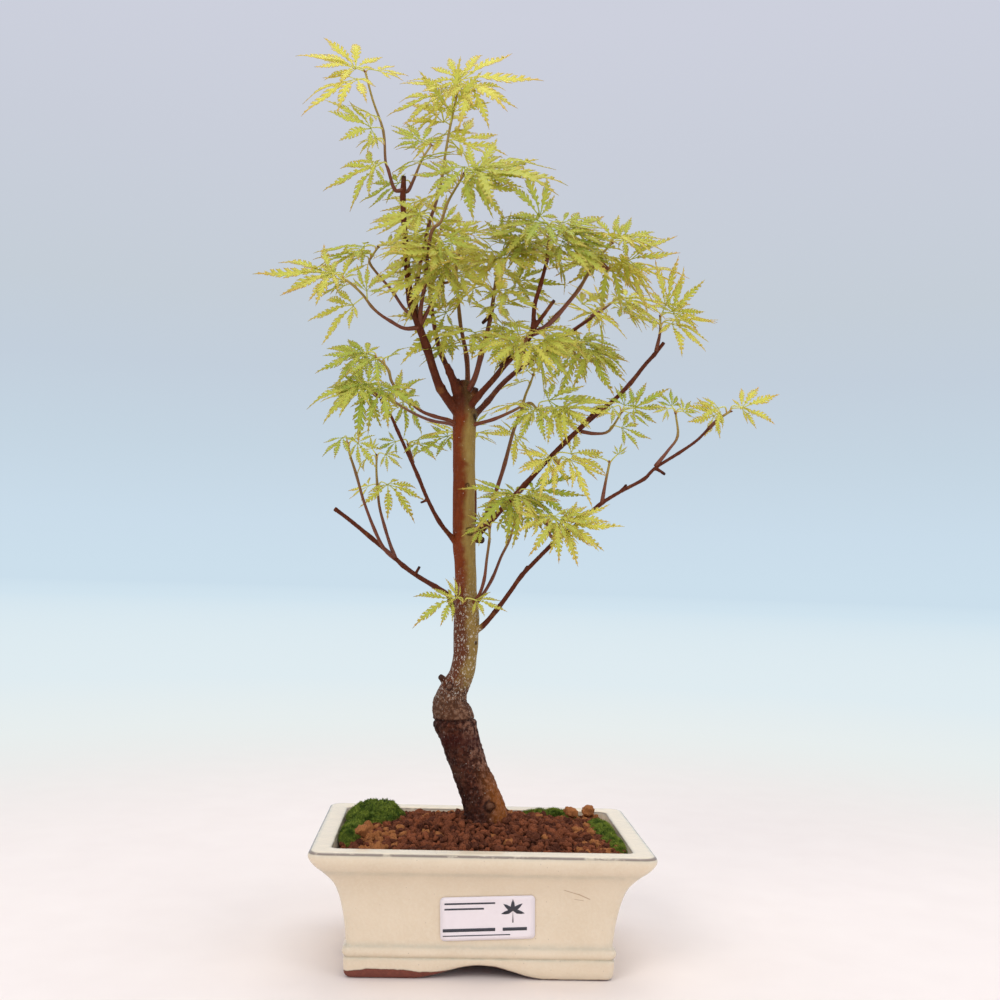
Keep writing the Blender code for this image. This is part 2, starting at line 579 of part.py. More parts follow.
def build_drains(stand):
    """A plastic mesh over each drain hole, held by a bent wire whose feet lie under the floor."""
    for side, word in ((-1, "left"), (1, "right")):
        middle, low = side * DRAIN_HOLE_X, FLOOR_TOP + GAP
        sheet = box_mesh(
            "screen", (middle - SCREEN_HALF, -SCREEN_HALF, low),
            (middle + SCREEN_HALF, SCREEN_HALF, low + SCREEN_THICK),
        )
        screen = add_object(f"drain_screen_{word}", sheet, stand, NET_BLACK, 0.6)
        for row in range(OPENINGS):
            for column in range(OPENINGS):
                x = middle + (column - (OPENINGS - 1) / 2) * OPENING_PITCH
                y = (row - (OPENINGS - 1) / 2) * OPENING_PITCH
                name, half = f"cut_screen_{word}_{row}_{column}", OPENING / 2
                cut = box_mesh(name, (x - half, y - half, low - 2), (x + half, y + half, low + 4))
                boolean(screen, add_helper(name, cut, stand), "DIFFERENCE")
        top, foot = low + SCREEN_THICK + 1.1, FLOOR_UNDER - 1.1
        route = [
            (middle + u, WIRE_LEG, z)
            for u, z in (
                (-WIRE_LEG - WIRE_FOOT, foot), (-WIRE_LEG, foot), (-WIRE_LEG, top),
                (WIRE_LEG, top), (WIRE_LEG, foot), (WIRE_LEG + WIRE_FOOT, foot),
            )
        ]
        wire = tube_mesh("wire", route, [WIRE_RADIUS] * len(route))
        add_object(f"screen_wire_{word}", wire, stand, WIRE_GREY, 0.35)


# ---------------------------------------------------------------- soil, moss and grains


def soil_height(x, y):
    dx = (x - MOUND_CENTRE[0]) / MOUND_SPREAD[0]
    dy = (y - MOUND_CENTRE[1]) / MOUND_SPREAD[1]
    return SOIL_EDGE + SOIL_RISE * math.exp(-(dx * dx + dy * dy) / 2)


def build_soil(stand):
    """The bed of clay granules: it fills the pot, with a bumpy top."""
    low = FLOOR_TOP + GAP
    heights = [low, 28.0, 40.0, 50.0, 61.2, 62.6, SOIL_EDGE - 0.6]
    loops = [inset_loop(read_profile(INSIDE, z) + GAP + 0.15, z) for z in heights]
    edge = loops[-1]
    for share in (0.93, 0.8, 0.66, 0.52, 0.39, 0.27, 0.16):
        loop = []
        for x, y, _ in edge:
            x, y = x * share, y * share
            bump = 1.0 * noise.noise(Vector((x, y, 3.0)) * 0.16)
            loop.append((x, y, soil_height(x, y) + bump))
        loops.append(loop)
    soil = add_object("soil", loft("soil", loops), stand, SOIL_BROWN, 0.95)
    for side in (-1, 1):
        middle, name = side * DRAIN_HOLE_X, f"cut_soil_{side}"
        pocket = box_mesh(
            name, (middle - SCREEN_POCKET, -SCREEN_POCKET, low - 3),
            (middle + SCREEN_POCKET, SCREEN_POCKET, low + 4),
        )
        boolean(soil, add_helper(name, pocket, stand), "DIFFERENCE")
    return soil


def build_moss(name, centre, half_size, height, stand):
    """A low cushion with a rounded top and a square-shouldered outline."""
    steps = 18
    loops = []
    floor = [(1.0, 0.0), (1.0, 0.3), (0.86, 0.68), (0.62, 0.9), (0.3, 1.0)]
    for level, (share, rise) in enumerate(floor):
        loop = []
        for step in range(steps):
            turn = 2 * math.pi * step / steps
            c, s = math.cos(turn), math.sin(turn)
            x = centre[0] + half_size[0] * share * math.copysign(abs(c) ** 0.6, c)
            y = centre[1] + half_size[1] * share * math.copysign(abs(s) ** 0.6, s)
            bump = noise.noise(Vector((x, y, 9.0)) * 0.2) if level > 1 else 0.0
            loop.append((x, y, soil_height(x, y) + 1.6 + rise * height + bump))
        loops.append(loop)
    add_object(name, loft(name, loops), stand, MOSS_GREEN, 0.9)


def build_grain(name, centre, radius, rest_height, seed, stand):
    """A lump of baked clay with a flat underside."""
    shake = random.Random(seed)
    bm = bmesh.new()
    bmesh.ops.create_icosphere(bm, subdivisions=2, radius=radius * MM)
    for vert in bm.verts:
        vert.co *= 1 + shake.uniform(-0.16, 0.16)
        vert.co += Vector(centre) * MM
    bmesh.ops.bisect_plane(
        bm, geom=bm.verts[:] + bm.edges[:] + bm.faces[:], plane_co=(0, 0, rest_height * MM),
        plane_no=(0, 0, -1), clear_outer=True,
    )
    bmesh.ops.holes_fill(bm, edges=[e for e in bm.edges if e.is_boundary])
    bmesh.ops.triangulate(bm, faces=bm.faces)
    add_object(name, mesh_from(name, bm), stand, GRAIN_TAN, 0.95)


# ---------------------------------------------------------------- the tree


class Growth:
    """The wood made so far, and the shapes that later pieces keep clear of."""

    def __init__(self, stand):
        self.stand = stand
        self.wood = {}
        self.shapes = []

    def shape_of(self, mesh):
        points = [v.co.copy() for v in mesh.vertices]
        return BVHTree.FromPolygons(points, [list(p.vertices) for p in mesh.polygons])

    def add_wood(self, name, route, radii, resolution, colour, roughness):
        """Wood along a route, cut back from any wood that it runs into."""
        mesh = tube_mesh(name, route, radii, resolution)
        shape = self.shape_of(mesh)
        obj = add_object(name, mesh, self.stand, colour, roughness)
        for other, (other_shape, other_route, other_radii, other_resolution) in self.wood.items():
            if shape.overlap(other_shape):
                cutter = f"cut_{name}_{other}"[:59]
                wide = [r + GAP for r in other_radii]
                cut = tube_mesh(cutter, other_route, wide, other_resolution)
                boolean(obj, add_helper(cutter, cut, self.stand), "DIFFERENCE", "MANIFOLD")
        self.wood[name] = (shape, route, radii, resolution)
        self.shapes.append((name, shape))
        return obj


def leaf_mesh(name, root, base, tip, roll, size):
    """A plain cut leaf with its stalk, as one closed solid.

    The blade is a flat star of lobes, thick over its middle and hanging at its tips. The stalk is
    a four-sided rod from inside the twig at root to the blade's back.
    """
    along = (tip - base).normalized()
    length = (tip - base).length * size
    side = along.cross(Vector((0, -0.35, 1))).normalized()
    turn = Matrix.Rotation(roll, 3, along)
    side = turn @ side
    normal = side.cross(along)

    def at(angle, share):
        u = share * length * math.cos(angle)
        v = share * length * math.sin(angle)
        return base + along * u + side * v - normal * (0.16 * length * share * share)

    blade = []
    for index, (angle, share) in enumerate(LOBES):
        blade.append(at(math.radians(angle), share))
        if index + 1 < len(LOBES):
            blade.append(at(math.radians((angle + LOBES[index + 1][0]) / 2), NOTCH_SHARE))
    rise = normal * LEAF_THICK / 2
    back = [base - side * LEAF_STALK, base + rise, base + side * LEAF_STALK, base - rise]
    foot = [root + (spot - base) for spot in back]
    bm = bmesh.new()
    ring = [bm.verts.new(spot * MM) for spot in [back[0], *blade, back[2]]]
    over, under = bm.verts.new(back[1] * MM), bm.verts.new(back[3] * MM)
    for a, b in zip(ring, ring[1:]):
        bm.faces.new((a, b, over))
        bm.faces.new((b, a, under))
    near = [ring[0], over, ring[-1], under]
    far = [bm.verts.new(spot * MM) for spot in foot]
    for i in range(4):
        j = (i + 1) % 4
        bm.faces.new((near[i], near[j], far[j], far[i]))
    bm.faces.new(far)
    return mesh_from(name, bm)


def nearest_on(routes, point):
    return min((spot for route in routes for spot in route), key=lambda spot: (spot - point).length)


def grow_leaf(growth, owner, name, routes, base, tip, shake):
    """A leaf on its stalk, tilted or made smaller until it is clear of every other piece."""
    for attempt in range(LEAF_TRIES):
        roll = math.radians(shake.uniform(-12, 12) * (1 + attempt))
        size = 1.0 - 0.035 * attempt
        lift = Vector((0, 0, 0)) if attempt < 3 else Vector([shake.uniform(-3, 3) for _ in range(3)])
        root = nearest_on(routes, base)
        along = (tip - base).normalized()
        reach = base + lift - root
        ahead = reach.dot(along)
        aside = (reach - along * ahead).length
        lift += along * max(0.0, 0.5 * aside + 2.5 - ahead)
        leaf = leaf_mesh(name, root, base + lift, tip + lift, roll, size)
        shape = growth.shape_of(leaf)
        if not any(shape.overlap(other) for owned, other in growth.shapes if owned != owner):
            growth.shapes.append((owner, shape))
            return leaf
    return None


def build_trunk(growth):
    route = smooth_route([point for point, _ in TRUNK], 1)
    radii = [radius for _, radius in TRUNK]
    growth.add_wood("trunk", route, radii, 3, TRUNK_BROWN, 0.75)


def build_branches(growth):
    for name, branch in BRANCHES.items():
        route = smooth_route(branch.route, 1)
        radii = taper(len(route), branch.start_radius, branch.end_radius)
        growth.add_wood(name, route, radii, 1, BRANCH_BROWN, 0.6)


def build_shoots(growth):
    """Each young shoot is one grown piece: its twig with the leaves on it."""
    shake = random.Random(7)
    twigs = {}
    for name, shoot in SHOOTS.items():
        routes = [smooth_route(twig, 1) for twig in shoot.twigs]
        radii = taper(len(routes[0]), shoot.radius, TWIG_TIP_RADIUS)
        twigs[name] = growth.add_wood(name, routes[0], radii, 1, LEAF_GREEN, 0.5), routes
    for name, shoot in SHOOTS.items():
        twig, routes = twigs[name]
        for extra in routes[1:]:
            radii = taper(len(extra), shoot.radius, TWIG_TIP_RADIUS)
            helper = tube_mesh(name + "_fork", extra, radii, 1)
            boolean(twig, add_helper(helper.name, helper, growth.stand), "UNION", "MANIFOLD")
        for index, (base, tip) in enumerate(shoot.leaves):
            leaf = grow_leaf(
                growth, name, f"{name}_leaf_{index}", routes, Vector(base), Vector(tip), shake
            )
            if leaf is None:
                print("no room for", name, index)
                continue
            boolean(twig, add_helper(leaf.name, leaf, growth.stand), "UNION", "MANIFOLD")


def trunk_pocket(soil, stand):
    """The hole in the soil that the trunk's foot stands in."""
    foot = [(point, radius) for point, radius in TRUNK if point[2] < RIM_HEIGHT + 12]
    points = [Vector(point) for point, _ in foot]
    points[0] = points[0] - Vector((0, 0, GAP))
    cut = tube_mesh("cut_trunk_pocket", points, [radius + 0.5 for _, radius in foot], 3)
    boolean(soil, add_helper("cut_trunk_pocket", cut, stand), "DIFFERENCE")


def main():
    clear_scene()
    stand = bpy.data.objects.new("bonsai", None)
    bpy.context.scene.collection.objects.link(stand)
    stand.location = (-BOX_MIDDLE[0] * MM, -BOX_MIDDLE[1] * MM, 0.0)
    build_pot(stand)
    build_label(stand)
    build_drains(stand)
    soil = build_soil(stand)
    trunk_pocket(soil, stand)
    build_moss("moss_left", (-62.0, 27.5), (17.2, 22.5), 8.5, stand)
    build_moss("moss_back", (44.5, 43.5), (18.0, 7.0), 4.0, stand)
    build_moss("moss_right", (71.5, 4.0), (6.5, 26.0), 3.0, stand)
    build_grain("rim_grain", (69.0, 45.0, 70.6), 4.2, 67.5, 3, stand)
    build_grain("clay_grain_left", (-66.0, -31.0, 73.0), 4.6, 69.6, 5, stand)
    build_grain("clay_grain_right", (55.0, 22.0, 74.2), 4.2, 71.3, 8, stand)
    growth = Growth(stand)
    build_trunk(growth)
    build_branches(growth)
    build_shoots(growth)


main()
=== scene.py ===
"""Looks of the cut-leaf maple bonsai in its glazed pot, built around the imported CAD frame.

Routes and outlines are in millimetres from the point on the ground below the middle of the pot,
and place() turns them into metres in the frame. The tree's route points repeat the CAD model's.
"""

import math
import random
from collections import namedtuple

import bmesh
import bpy
import numpy as np
from mathutils import Matrix, Vector, noise


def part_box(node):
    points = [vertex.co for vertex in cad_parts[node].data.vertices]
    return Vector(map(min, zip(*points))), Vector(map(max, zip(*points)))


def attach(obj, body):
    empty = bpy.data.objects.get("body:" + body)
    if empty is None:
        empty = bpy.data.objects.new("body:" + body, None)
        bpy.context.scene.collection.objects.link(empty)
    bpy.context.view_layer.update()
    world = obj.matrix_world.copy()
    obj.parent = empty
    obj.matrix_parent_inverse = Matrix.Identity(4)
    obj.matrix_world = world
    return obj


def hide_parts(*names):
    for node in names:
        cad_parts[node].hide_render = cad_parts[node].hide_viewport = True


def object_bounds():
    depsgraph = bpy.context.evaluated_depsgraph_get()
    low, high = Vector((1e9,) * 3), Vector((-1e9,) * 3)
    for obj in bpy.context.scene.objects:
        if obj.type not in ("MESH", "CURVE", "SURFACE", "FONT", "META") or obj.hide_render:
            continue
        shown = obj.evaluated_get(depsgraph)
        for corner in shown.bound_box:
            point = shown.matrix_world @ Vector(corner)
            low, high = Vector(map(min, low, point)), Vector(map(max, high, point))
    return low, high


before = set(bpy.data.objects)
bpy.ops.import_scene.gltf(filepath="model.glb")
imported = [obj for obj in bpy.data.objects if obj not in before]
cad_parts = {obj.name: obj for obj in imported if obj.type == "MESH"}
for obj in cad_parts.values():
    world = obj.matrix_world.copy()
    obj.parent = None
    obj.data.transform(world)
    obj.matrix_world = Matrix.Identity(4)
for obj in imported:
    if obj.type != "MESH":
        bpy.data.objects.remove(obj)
CAD_BOX = [list(corner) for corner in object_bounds()]

MM = 0.001
POT_LOW, POT_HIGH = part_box("pot")
POT_MIDDLE = Vector(((POT_LOW.x + POT_HIGH.x) / 2, (POT_LOW.y + POT_HIGH.y) / 2, 0.0))
RIM_LENGTH = (POT_HIGH.x - POT_LOW.x) / MM
RIM_WIDTH = (POT_HIGH.y - POT_LOW.y) / MM

Branch = namedtuple("Branch", "start_radius end_radius route")
Shoot = namedtuple("Shoot", "radius twigs leaves")

# The trunk's centre line and its radius at each point, from the soil up
TRUNK = [
    ((4, 2, 55), 15.0), ((4, 2, 61), 21.0), ((4, 2, 67), 17.5), ((3, 2, 73), 13.6),
    ((2.5, 2, 79), 12.0), ((-1, 3, 89), 11.1), ((-5.5, 4, 99), 10.7), ((-10.3, 5, 111), 10.7),
    ((-14, 5, 122), 11.5), ((-17.5, 5, 131), 12.0), ((-20, 4, 140), 9.8), ((-18, 3, 148), 8.6),
    ((-14, 2, 157), 7.3), ((-12, 1, 169), 6.9), ((-12, 0, 181), 7.5), ((-12, 0, 190), 7.6),
    ((-13, 0, 207), 6.4), ((-14, 0, 224), 6.3), ((-15, 0, 236), 6.9), ((-16, 0, 262), 6.5),
    ((-17, 0, 296), 6.8), ((-17, 0, 309), 7.2), ((-18, 0, 319), 5.8), ((-19, 1, 331), 3.6),
]
BRANCHES = {
    "crown_branch_left": Branch(2.9, 1.5, [
        (-17, 0, 309), (-25, -3, 316), (-32, -6, 325), (-36, -8, 334), (-41, -11, 348),
        (-46, -14, 360), (-51, -16, 373), (-53, -17, 386), (-55, -17, 404), (-57, -16, 423),
        (-58, -15, 436), (-58, -14, 445)]),
    "crown_branch_right": Branch(2.1, 1.1, [
        (-17, 0, 307), (-15, -5, 313), (-10, -11, 320), (-1, -18, 330), (7, -24, 340), (13, -28, 345),
        (19, -32, 355), (20, -33, 370), (23, -34, 382), (26, -34, 395)]),
    "crown_branch_back_right": Branch(2.0, 1.2, [
        (-16, 0, 307), (-11, 7, 312), (-3, 17, 322), (7, 28, 336), (24, 40, 353), (34, 47, 361),
        (44, 52, 370), (65, 60, 387)]),
    "crown_branch_back_left": Branch(2.0, 1.1, [
        (-18, 1, 323), (-25, 12, 335), (-33, 26, 353), (-38, 38, 374), (-41, 48, 396), (-41, 56, 417)]),
    "pruned_stub": Branch(2.3, 2.0, [
        (-20, -2, 320), (-24, -7, 328), (-27, -10, 334), (-29, -12, 338)]),
    "middle_branch_right": Branch(1.75, 1.2, [
        (-14, 0, 236), (-7, -5, 240), (2, -10, 250), (10, -13, 259), (19, -14, 269), (30, -14, 282),
        (43, -12, 296), (50, -10, 303), (64, -6, 316), (73, -2, 324), (82, 2, 334), (91, 5, 346),
        (97, 7, 353), (103, 8, 361)]),
    "low_branch_right": Branch(1.5, 0.9, [
        (-12, 0, 180), (-3, -5, 186), (5, -10, 196), (13, -15, 208), (18, -19, 216), (24, -22, 223),
        (37, -26, 237), (49, -28, 247), (61, -28, 258), (73, -26, 266), (87, -22, 274), (94, -20, 281),
        (109, -14, 291), (120, -10, 299), (128, -7, 307)]),
    "low_branch_left": Branch(1.7, 1.3, [
        (-12, 0, 182), (-17, 4, 190), (-21, 9, 199), (-24, 13, 204), (-31, 18, 208), (-42, 24, 214),
        (-51, 28, 220), (-57, 30, 225), (-72, 32, 237), (-85, 33, 247), (-95, 33, 254)]),
    "middle_branch_left": Branch(1.4, 0.85, [
        (-15, 0, 230), (-23, -5, 238), (-30, -12, 246), (-37, -19, 258), (-43, -25, 271),
        (-49, -30, 283), (-55, -35, 295), (-59, -38, 303), (-65, -40, 312)]),
    "middle_branch_back": Branch(1.6, 0.95, [
        (-14, 0, 210), (-12, 10, 219), (-10, 26, 234), (-8, 44, 252), (-8, 60, 269), (-10, 76, 288),
        (-13, 88, 304)]),
}
SHOOTS = {
    "shoot_top_left": Shoot(1.0, [
        [(-58, -15, 440), (-63, -15, 440), (-67, -16, 451), (-69, -16, 457), (-71, -15, 475),
         (-78, -13, 494), (-83, -12, 511)],
    ], [
        ((-83, -12, 513), (-119, -22, 523)), ((-83, -12, 515), (-101, -2, 543)),
        ((-83, -12, 513), (-59, -6, 518)), ((-86, -13, 499), (-118, -28, 481)),
        ((-71, -15, 478), (-88, -32, 478)), ((-67, -16, 466), (-78, -28, 455)),
        ((-67, -16, 450), (-81, -24, 439)),
    ]),
    "shoot_top_inner": Shoot(0.9, [
        [(-58, -14, 439), (-55, -12, 441), (-52, -10, 449), (-48, -8, 461), (-43, -6, 471)],
    ], [
        ((-42, -6, 475), (-61, -16, 484)), ((-43, -6, 471), (-57, 6, 498)),
        ((-47, -8, 463), (-57, -22, 459)),
    ]),
    "shoot_top_middle": Shoot(1.4, [
        [(-46, -14, 360), (-48, -9, 371), (-48, -3, 390), (-45, 3, 413), (-42, 7, 430), (-39, 9, 441),
         (-36, 10, 456), (-34, 8, 474), (-31, 6, 494), (-28, 4, 509)],
    ], [
        ((-27, 4, 517), (19, -8, 518)), ((-28, 4, 517), (-49, 12, 529)),
        ((-35, 5, 512), (-62, -8, 511)), ((-27, 4, 511), (-6, -12, 482)),
        ((-34, 6, 491), (-33, -6, 529)), ((-34, 8, 481), (0, 22, 495)), ((-34, 8, 488), (-46, 24, 523)),
    ]),
    "shoot_top_right": Shoot(1.2, [
        [(-45, -14, 360), (-45, -19, 369), (-43, -25, 382), (-42, -30, 395), (-40, -34, 410),
         (-35, -36, 415), (-32, -37, 425), (-28, -35, 434), (-23, -33, 444)],
    ], [
        ((-22, -33, 446), (38, -48, 449)), ((-22, -33, 447), (18, -22, 470)),
        ((-22, -33, 445), (6, -50, 435)), ((-24, -34, 442), (-21, -48, 410)),
        ((-24, -34, 443), (-38, -50, 448)),
    ]),
    "shoot_far_left": Shoot(1.1, [
        [(-45, -14, 359), (-54, -18, 357), (-62, -22, 360), (-68, -25, 363), (-73, -27, 367),
         (-78, -29, 373), (-85, -30, 379), (-89, -30, 381)],
    ], [
        ((-90, -30, 382), (-134, -40, 385)), ((-89, -30, 382), (-116, -48, 370)),
        ((-85, -30, 381), (-100, -10, 401)), ((-73, -27, 371), (-73, -40, 389)),
        ((-82, -29, 376), (-102, -20, 371)),
    ]),
    "shoot_left_spur": Shoot(1.0, [
        [(-48, -15, 365), (-55, -8, 371), (-63, -3, 383), (-69, 0, 390), (-77, 2, 400), (-76, 4, 405),
         (-73, 6, 411)],
    ], [
        ((-74, 5, 409), (-108, 14, 409)), ((-73, 6, 411), (-59, 16, 425)),
        ((-76, 4, 404), (-87, -12, 393)), ((-69, 1, 390), (-55, 12, 405)),
    ]),
    "shoot_inner_spur": Shoot(1.0, [
        [(-45, -13, 360), (-40, -18, 370), (-35, -21, 378), (-33, -22, 383), (-29, -22, 385),
         (-29, -24, 391), (-31, -27, 397)],
    ], [
        ((-31, -27, 398), (-18, -46, 402)), ((-31, -27, 397), (-41, -40, 404)),
        ((-29, -24, 391), (-39, -42, 377)), ((-27, -22, 386), (-10, -40, 375)),
        ((-28, -22, 385), (-34, -36, 363)),
    ]),
    "shoot_back_upper": Shoot(1.0, [
        [(-41, 57, 418), (-40, 60, 430), (-36, 62, 441)],
    ], [
        ((-36, 62, 441), (-11, 78, 459)), ((-39, 61, 437), (-58, 82, 448)),
        ((-40, 60, 430), (-61, 78, 423)), ((-40, 59, 427), (-21, 82, 422)),
        ((-38, 62, 441), (-37, 66, 468)),
    ]),
    "shoot_centre_back": Shoot(1.7, [
        [(-17, 0, 322), (-16, 5, 332), (-17, 9, 347), (-20, 11, 361), (-22, 12, 372), (-25, 13, 400),
         (-24, 12, 410), (-21, 10, 420)],
    ], [
        ((-21, 10, 421), (-5, -4, 429)), ((-22, 10, 419), (-27, 22, 443)),
        ((-24, 12, 410), (-41, 26, 420)), ((-24, 12, 414), (1, 30, 420)),
        ((-25, 13, 403), (-7, 32, 400)),
    ]),
    "shoot_centre_front": Shoot(1.8, [
        [(-17, 0, 322), (-12, -6, 332), (-9, -11, 344), (-6, -14, 357), (-4, -15, 368), (-2, -15, 386),
         (-1, -15, 394), (0, -18, 401), (4, -20, 408)],
    ], [
        ((4, -20, 409), (22, -38, 411)), ((4, -20, 410), (-1, -30, 427)),
        ((0, -18, 402), (-16, -42, 400)), ((1, -17, 399), (13, -42, 380)),
        ((0, -16, 396), (-12, -40, 370)),
    ]),
    "shoot_right_upper": Shoot(1.0, [
        [(26, -34, 395), (27, -34, 407), (27, -34, 416)],
    ], [
        ((26, -34, 419), (15, -38, 450)), ((28, -34, 418), (55, -42, 419)),
        ((27, -34, 414), (9, -60, 396)), ((27, -34, 408), (43, -58, 395)),
        ((26, -34, 415), (6, -28, 424)),
    ]),
    "shoot_right_outer": Shoot(1.6, [
        [(19, -32, 354), (26, -29, 358), (34, -25, 367), (40, -21, 375), (47, -17, 385),
         (53, -13, 396), (58, -10, 404), (62, -9, 410), (67, -8, 416)],
        [(60, -9, 404), (65, -4, 402), (70, 2, 402)],
    ], [
        ((66, -8, 418), (95, -22, 412)), ((66, -8, 418), (69, 2, 442)), ((68, -8, 418), (92, -2, 434)),
        ((62, -9, 410), (54, 6, 433)), ((60, -9, 407), (40, -26, 409)), ((72, 2, 401), (116, 10, 406)),
        ((70, 2, 400), (85, -8, 375)), ((70, 2, 400), (63, -4, 373)), ((66, -3, 401), (96, 24, 394)),
    ]),
    "shoot_right_back": Shoot(1.0, [
        [(65, 61, 388), (74, 66, 395), (82, 70, 402)],
    ], [
        ((82, 70, 402), (119, 80, 408)), ((80, 69, 399), (100, 90, 387)),
        ((74, 66, 395), (70, 84, 422)), ((68, 62, 389), (79, 84, 371)), ((66, 62, 389), (51, 88, 405)),
    ]),
    "shoot_right_front": Shoot(1.0, [
        [(19, -32, 356), (15, -38, 348), (14, -42, 342)],
    ], [
        ((14, -43, 342), (0, -62, 324)), ((15, -43, 342), (28, -64, 326)),
        ((14, -43, 343), (-7, -60, 343)), ((17, -38, 349), (33, -62, 350)),
        ((13, -42, 346), (5, -58, 357)),
    ]),
    "shoot_right_hanging": Shoot(1.0, [
        [(43, 52, 370), (49, 48, 364), (55, 42, 357)],
    ], [
        ((56, 42, 356), (80, 30, 345)), ((56, 42, 355), (70, 28, 325)), ((54, 43, 355), (51, 52, 328)),
        ((49, 48, 362), (30, 66, 351)), ((50, 48, 366), (79, 60, 370)),
    ]),
    "shoot_branch_end": Shoot(0.9, [
        [(98, 7, 355), (100, 6, 366), (100, 6, 376)],
    ], [
        ((100, 6, 379), (104, 0, 413)), ((100, 6, 378), (121, -6, 397)),
        ((101, 6, 377), (132, 2, 374)), ((99, 6, 372), (86, 22, 390)), ((99, 6, 368), (121, -10, 350)),
        ((98, 6, 371), (82, -14, 374)),
    ]),
    "shoot_left_upper": Shoot(1.2, [
        [(-17, 0, 303), (-26, -6, 306), (-35, -14, 307), (-43, -21, 309), (-52, -29, 315),
         (-59, -35, 322), (-61, -37, 328), (-64, -38, 332), (-68, -38, 335)],
    ], [
        ((-70, -38, 336), (-94, -48, 330)), ((-64, -38, 334), (-53, -52, 342)),
        ((-67, -38, 337), (-83, -26, 351)), ((-63, -38, 331), (-80, -56, 317)),
    ]),
    "shoot_left_lower": Shoot(0.8, [
        [(-65, -40, 313), (-68, -40, 314), (-70, -40, 316)],
    ], [
        ((-70, -40, 316), (-98, -50, 296)), ((-69, -40, 313), (-77, -46, 287)),
        ((-68, -40, 313), (-59, -58, 290)), ((-70, -40, 317), (-93, -34, 322)),
        ((-66, -40, 315), (-49, -54, 316)),
    ]),
    "shoot_left_back": Shoot(1.1, [
        [(-17, 0, 302), (-26, 8, 306), (-37, 19, 309), (-49, 30, 315), (-61, 40, 323), (-68, 47, 329),
         (-75, 52, 333)],
    ], [
        ((-76, 53, 335), (-101, 62, 323)), ((-72, 50, 333), (-91, 64, 354)),
        ((-63, 42, 326), (-57, 60, 350)), ((-60, 41, 322), (-44, 58, 303)),
    ]),
    "shoot_left_inner": Shoot(0.8, [
        [(-46, -28, 278), (-48, -26, 284), (-49, -24, 288)],
    ], [
        ((-49, -24, 288), (-64, -20, 281)), ((-48, -24, 288), (-37, -38, 295)),
        ((-47, -25, 286), (-33, -42, 278)),
    ]),
    "shoot_low_left_long": Shoot(1.1, [
        [(-56, 30, 224), (-63, 26, 230), (-69, 22, 241), (-76, 18, 258), (-81, 15, 274),
         (-85, 14, 285), (-86, 14, 289), (-87, 14, 292)],
    ], [
        ((-87, 14, 292), (-91, 2, 279)), ((-87, 14, 292), (-82, 20, 305)),
        ((-86, 14, 290), (-74, 4, 277)),
    ]),
    "shoot_low_left_short": Shoot(1.1, [
        [(-56, 30, 224), (-60, 36, 233), (-64, 40, 244), (-68, 43, 257), (-70, 45, 271),
         (-71, 46, 281), (-71, 46, 289)],
    ], [
        ((-72, 46, 290), (-75, 50, 302)), ((-71, 46, 288), (-58, 36, 280)),
        ((-71, 46, 286), (-82, 54, 275)), ((-69, 45, 267), (-49, 34, 244)),
        ((-69, 45, 266), (-86, 58, 261)),
    ]),
    "shoot_centre_right": Shoot(1.2, [
        [(-17, 0, 303), (-9, -5, 305), (0, -12, 307), (10, -19, 311), (19, -26, 315), (23, -28, 312),
         (28, -29, 307)],
    ], [
        ((29, -29, 306), (52, -38, 304)), ((28, -29, 305), (36, -40, 288)),
        ((27, -29, 305), (7, -40, 302)), ((27, -29, 306), (18, -36, 289)),
    ]),
    "shoot_middle_low": Shoot(0.9, [
        [(17, -14, 266), (14, -18, 262), (13, -22, 257)],
    ], [
        ((14, -22, 256), (36, -36, 237)), ((13, -22, 255), (16, -34, 233)),
        ((11, -22, 256), (-8, -36, 250)), ((15, -20, 260), (34, -44, 255)),
    ]),
    "shoot_middle_high": Shoot(1.6, [
        [(-14, 0, 236), (-6, 8, 245), (1, 16, 259), (5, 21, 271), (9, 25, 285), (14, 30, 306),
         (19, 33, 320), (21, 36, 329), (24, 38, 337), (26, 40, 343)],
    ], [
        ((26, 40, 344), (44, 50, 338)), ((25, 40, 344), (18, 52, 368)), ((24, 38, 336), (6, 54, 334)),
    ]),
    "shoot_back": Shoot(0.9, [
        [(-13, 88, 304), (-14, 92, 311), (-15, 94, 315)],
    ], [
        ((-15, 94, 317), (2, 104, 333)), ((-16, 94, 317), (-32, 102, 328)),
        ((-14, 90, 308), (9, 100, 305)), ((-14, 90, 308), (-34, 98, 296)),
    ]),
    "shoot_middle_right": Shoot(0.9, [
        [(35, -14, 286), (36, -20, 282), (37, -24, 280)],
    ], [
        ((37, -24, 280), (52, -34, 258)), ((36, -24, 278), (26, -36, 258)),
        ((35, -22, 280), (14, -36, 275)), ((37, -22, 282), (50, -38, 281)),
    ]),
    "shoot_low_right_inner": Shoot(0.9, [
        [(37, -26, 237), (32, -34, 240), (30, -40, 245)],
    ], [
        ((30, -42, 248), (62, -50, 230)), ((31, -42, 249), (55, -54, 250)),
        ((29, -42, 249), (14, -56, 254)), ((29, -41, 246), (35, -50, 222)),
    ]),
    "shoot_low_right_spur": Shoot(0.9, [
        [(62, -28, 258), (64, -28, 271), (66, -28, 282)],
    ], [
        ((66, -28, 284), (69, -32, 294)), ((66, -28, 283), (60, -22, 292)),
    ]),
    "shoot_low_right_end": Shoot(0.9, [
        [(128, -7, 307), (134, -6, 313), (141, -5, 318)],
    ], [
        ((141, -5, 319), (170, -2, 330)), ((142, -5, 318), (156, -14, 313)),
        ((138, -5, 318), (120, -18, 308)), ((134, -6, 315), (130, 6, 331)),
    ]),
    "shoot_low_right_fork": Shoot(0.9, [
        [(94, -20, 282), (102, -17, 292), (108, -14, 301), (107, -12, 314)],
    ], [
